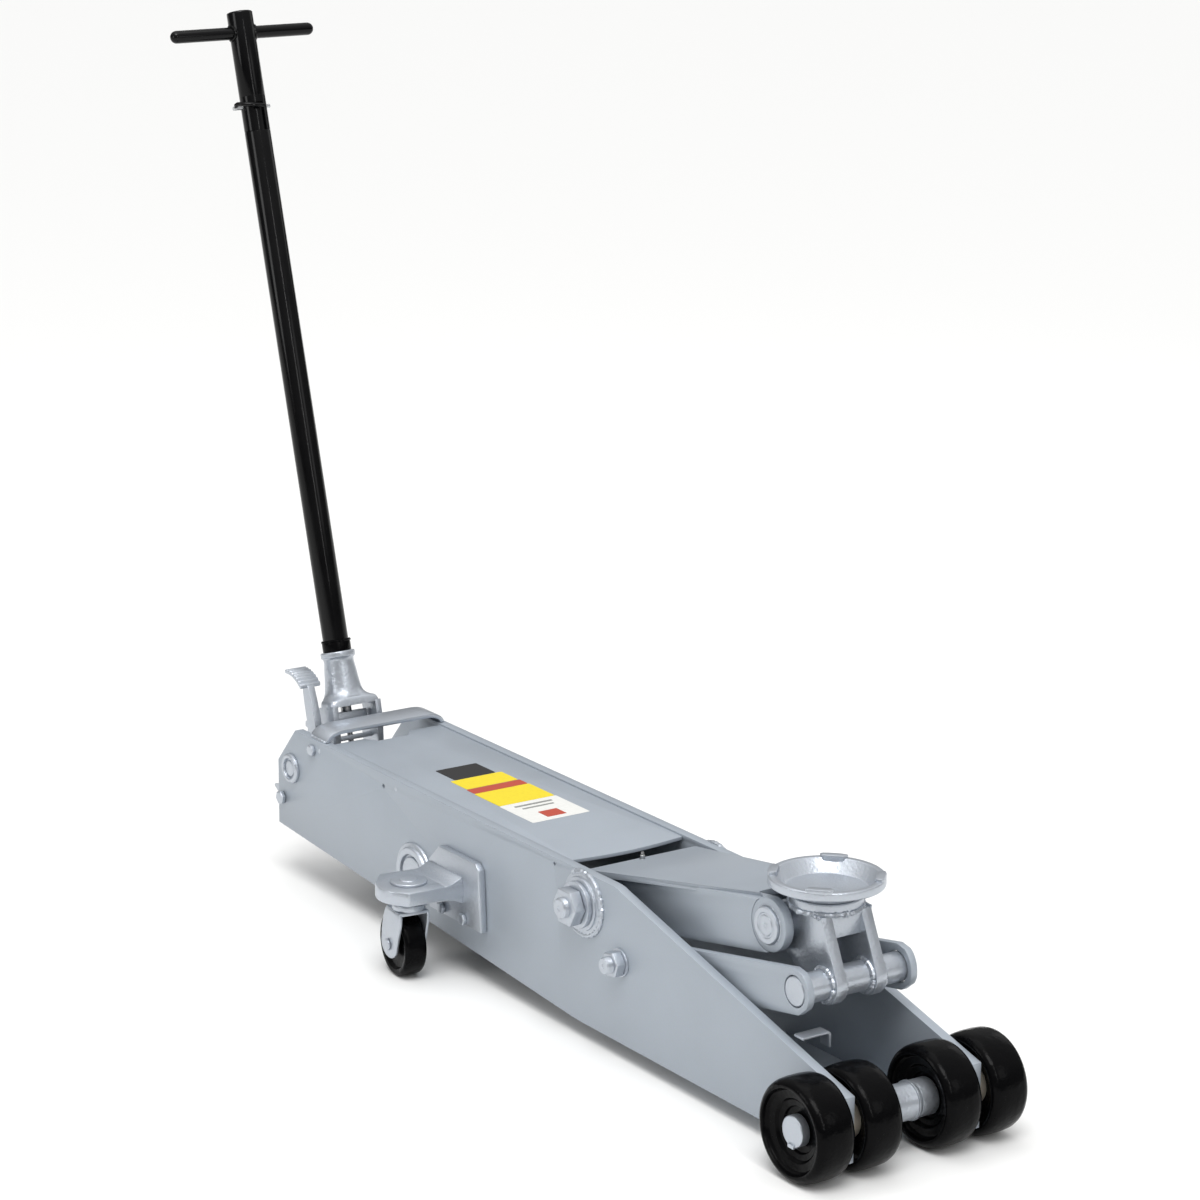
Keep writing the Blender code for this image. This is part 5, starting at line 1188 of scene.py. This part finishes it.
# --- Rear casters ---
# Each caster is a black wheel in a folded fork, under an arm that is welded to a flange. The flange is bolted
# to the side plate, and a big washer on the kingpin closes the swivel.
CASTER_Y = 0.205
CASTER_X = PIVOT["caster_swivel_right"].x
CASTER_R = 0.0535
CASTER_TRAIL = 0.022
CASTER_TURN = math.radians(-7)
ARM_TOP_Z, ARM_LOW_Z = 0.163, 0.139
FORK_TOP = 0.118
HALF_TREAD = 0.019
FORK_IN, FORK_OUT = 0.0215, 0.0265
flange_corners = [
    (-0.050, 0.093), (0.108, 0.093), (0.101, 0.196), (0.090, 0.206), (-0.019, 0.206), (-0.050, 0.176)
]
flange_corners = [(CASTER_X + x, z) for x, z in flange_corners]
for side, word in ((-1, "right"), (1, "left")):
    post = Vector((CASTER_X, side * CASTER_Y, 0))
    swivel = Matrix.Translation(post) @ Matrix.Rotation(CASTER_TURN, 4, "Z")
    bracket = f"caster_bracket_{word}"
    low, high = sorted((side * (PLATE_OUT + 0.0003), side * (PLATE_OUT + 0.0125)))
    piece(
        f"{bracket}_flange", slab(flange_corners, low, high, soft=0.0022), casting_enamel, "chassis",
        bracket, bracket,
    )
    arm_outline = [
        (-0.0605, -0.020), *arc((0, 0), 0.054, -125, -55, 20), (0.050, -0.030),
        (0.056, CASTER_Y - PLATE_OUT - 0.011),
    ]
    arm_outline += [(-0.0485, CASTER_Y - PLATE_OUT - 0.011)]
    arm_outline = [(x, -side * y) for x, y in arm_outline]
    arm_bm = slab(arm_outline, ARM_LOW_Z, ARM_TOP_Z, [ring((0, 0), 0.0158)], Matrix.Translation(post), 0.0035)
    piece(f"{bracket}_arm", arm_bm, casting_enamel, "chassis", bracket)
    for edge, height, rise in (("top", ARM_TOP_Z, 0.0105), ("under", ARM_LOW_Z, -0.0100)):
        sweep = [
            (0.0120, rise), (0.0160, rise * 0.93), (0.0220, rise * 0.62), (0.0290, rise * 0.30),
            (0.0370, rise * 0.10), (0.0460, 0),
        ]
        fillet = [
            (PLATE_OUT + y, height + z)
            for y, z in (*sweep, (0.0460, -rise * 0.3), (0.0120, -rise * 0.3))
        ]
        fillet = [(side * y, z) for y, z in fillet]
        fillet_bm = slab(fillet, CASTER_X - 0.0475, CASTER_X + 0.0540, (), ACROSS, 0.0020)
        piece(f"{bracket}_{edge}_weld", fillet_bm, casting_enamel, "chassis", bracket)
    for bolt, (x, z) in enumerate(((AXLE.x - 0.9374, 0.1035), (AXLE.x - 1.003, 0.1035))):
        bolt_bm = hexagon(
            0.0100, PLATE_OUT + 0.0125, PLATE_OUT + 0.0200, Vector((x, 0, z)), side, 0.0012, 0.2 * bolt
        )
        piece(f"{bracket}_bolt_{bolt}", bolt_bm, casting_enamel, "chassis", bracket)
    kingpin = [
        (0, ARM_TOP_Z + 0.0060), (0.0135, ARM_TOP_Z + 0.0060), (0.0150, ARM_TOP_Z + 0.0050),
        (0.0150, ARM_TOP_Z + 0.0042),
    ]
    kingpin += [
        (0.0285, ARM_TOP_Z + 0.0042), (0.0300, ARM_TOP_Z + 0.0030), (0.0300, ARM_TOP_Z + 0.0003),
        (0.0155, ARM_TOP_Z + 0.0003),
    ]
    kingpin += [
        (0.0155, ARM_LOW_Z - 0.001), (0.0100, ARM_LOW_Z - 0.001), (0.0100, FORK_TOP - 0.0050),
        (0, FORK_TOP - 0.0050),
    ]
    name = f"caster_kingpin_{word}"
    piece(f"{name}_washer", spun(kingpin, post, "Z"), casting_enamel, "chassis", name, name)

    fork = f"caster_fork_{word}"
    tongue = [
        (-CASTER_TRAIL + 0.0290 * math.cos(a), CASTER_R - 0.001 + 0.0215 * math.sin(a))
        for a in (math.pi + math.pi * i / 24 for i in range(25))
    ]
    leg_shape = [*tongue, (0.0150, 0.075), (0.0225, 0.098), (0.0240, FORK_TOP - 0.008), (0.0200, FORK_TOP)]
    leg_shape += [(-0.0290, FORK_TOP), (-0.0350, FORK_TOP - 0.007), (-0.0420, 0.098), (-0.0490, 0.075)]
    for leg in (-1, 1):
        low, high = sorted((leg * FORK_IN, leg * FORK_OUT))
        leg_bm = slab(
            leg_shape, low, high, [ring((-CASTER_TRAIL, CASTER_R), 0.0063, 24)], swivel @ SWAP_YZ,
            0.0014,
        )
        leg_name = "near" if leg == side else "far"
        fork_nodes = (fork,) if leg == side else ()
        piece(f"{fork}_{leg_name}_leg", leg_bm, casting_enamel, fork, fork, *fork_nodes)
    crown = [(-0.0300, -FORK_OUT), (0.0215, -FORK_OUT), (0.0215, FORK_OUT), (-0.0300, FORK_OUT)]
    crown_bm = slab(crown, FORK_TOP - 0.0060, FORK_TOP + 0.0006, [ring((0, 0), 0.0104)], swivel, 0.0022)
    piece(f"{fork}_crown", crown_bm, casting_enamel, fork, fork)
    race = [
        (0.0162, 0.1195), (0.0162, ARM_LOW_Z - 0.0006), (0.0240, ARM_LOW_Z - 0.0006),
        (0.0250, ARM_LOW_Z - 0.0030), (0.0250, 0.1315),
    ]
    race += [(0.0238, 0.1300), (0.0262, 0.1285), (0.0270, 0.1260), (0.0270, 0.1195)]
    piece(f"{fork}_race", spun(race, post, "Z", closed=True), casting_enamel, fork, fork)
    hub = swivel @ Vector((-CASTER_TRAIL, 0, CASTER_R))
    turned_y = swivel.to_3x3().to_4x4() @ Matrix.Rotation(-math.pi / 2, 4, "X")
    pin_half = [
        (0, FORK_OUT + 0.0040), (0.0085, FORK_OUT + 0.0040), (0.0095, FORK_OUT + 0.0030),
        (0.0095, FORK_OUT + 0.0003), (0.0060, FORK_OUT + 0.0003),
    ]
    pin_profile = [*pin_half, *[(r, -h) for r, h in reversed(pin_half)]]
    name = f"caster_axle_{word}"
    piece(f"{name}_pin", spun(pin_profile, hub, lean=turned_y), casting_enamel, fork, name, name)
    rim = [
        (0.0490, HALF_TREAD), (0.0515, HALF_TREAD - 0.0012), (0.0530, HALF_TREAD - 0.0040),
        (CASTER_R, HALF_TREAD - 0.0080),
    ]
    face = [
        (0.0066, HALF_TREAD), (0.0155, HALF_TREAD), (0.0180, HALF_TREAD - 0.0055),
        (0.0395, HALF_TREAD - 0.0060), (0.0425, HALF_TREAD - 0.0010),
    ]
    profile = [*rim, *[(r, -h) for r, h in reversed(rim)], *[(r, -h) for r, h in reversed(face)], *face]
    name = f"caster_wheel_{word}"
    piece(
        f"{name}_tyre", spun(profile, hub, closed=True, lean=turned_y, steps=80), gloss_black_and_painted_shade, name,
        name, name,
    )


# --- Inside the chassis ---
# The power unit sits under the cover: a cylinder, tank and pump block with oiled steel rods and black
# wire springs. The cylinder, tank and pump block are given the wheels' gloss black as painted shade, which
# darkens the inside of the chassis. Only the unit's rear end can be seen, past the handle, so it keeps the
# plain shape of its solids.
spring_black = silver_enamel("oil_blackened_spring_wire", "#3A3B3D", 0.34, 1.0, 0.00002, 0.9)
INSIDE = {
    plate_enamel: ("bottom_tie_plate",),
    # The cylinder, tank and pump block take the wheels' gloss black as painted shade inside the chassis.
    gloss_black_and_painted_shade: ("hydraulic_cylinder", "oil_tank", "pump_block"),
    bare_steel: ("horn_pin", "cylinder_gland", "ram", "pump_plunger", "release_push_pin", "release_rod"),
    spring_black: ("pump_spring", "pedal_spring", "return_spring_right", "return_spring_left"),
}
for finish, names in INSIDE.items():
    for name in names:
        for holder in frame["nodes"][name].material_slots:
            holder.material = finish
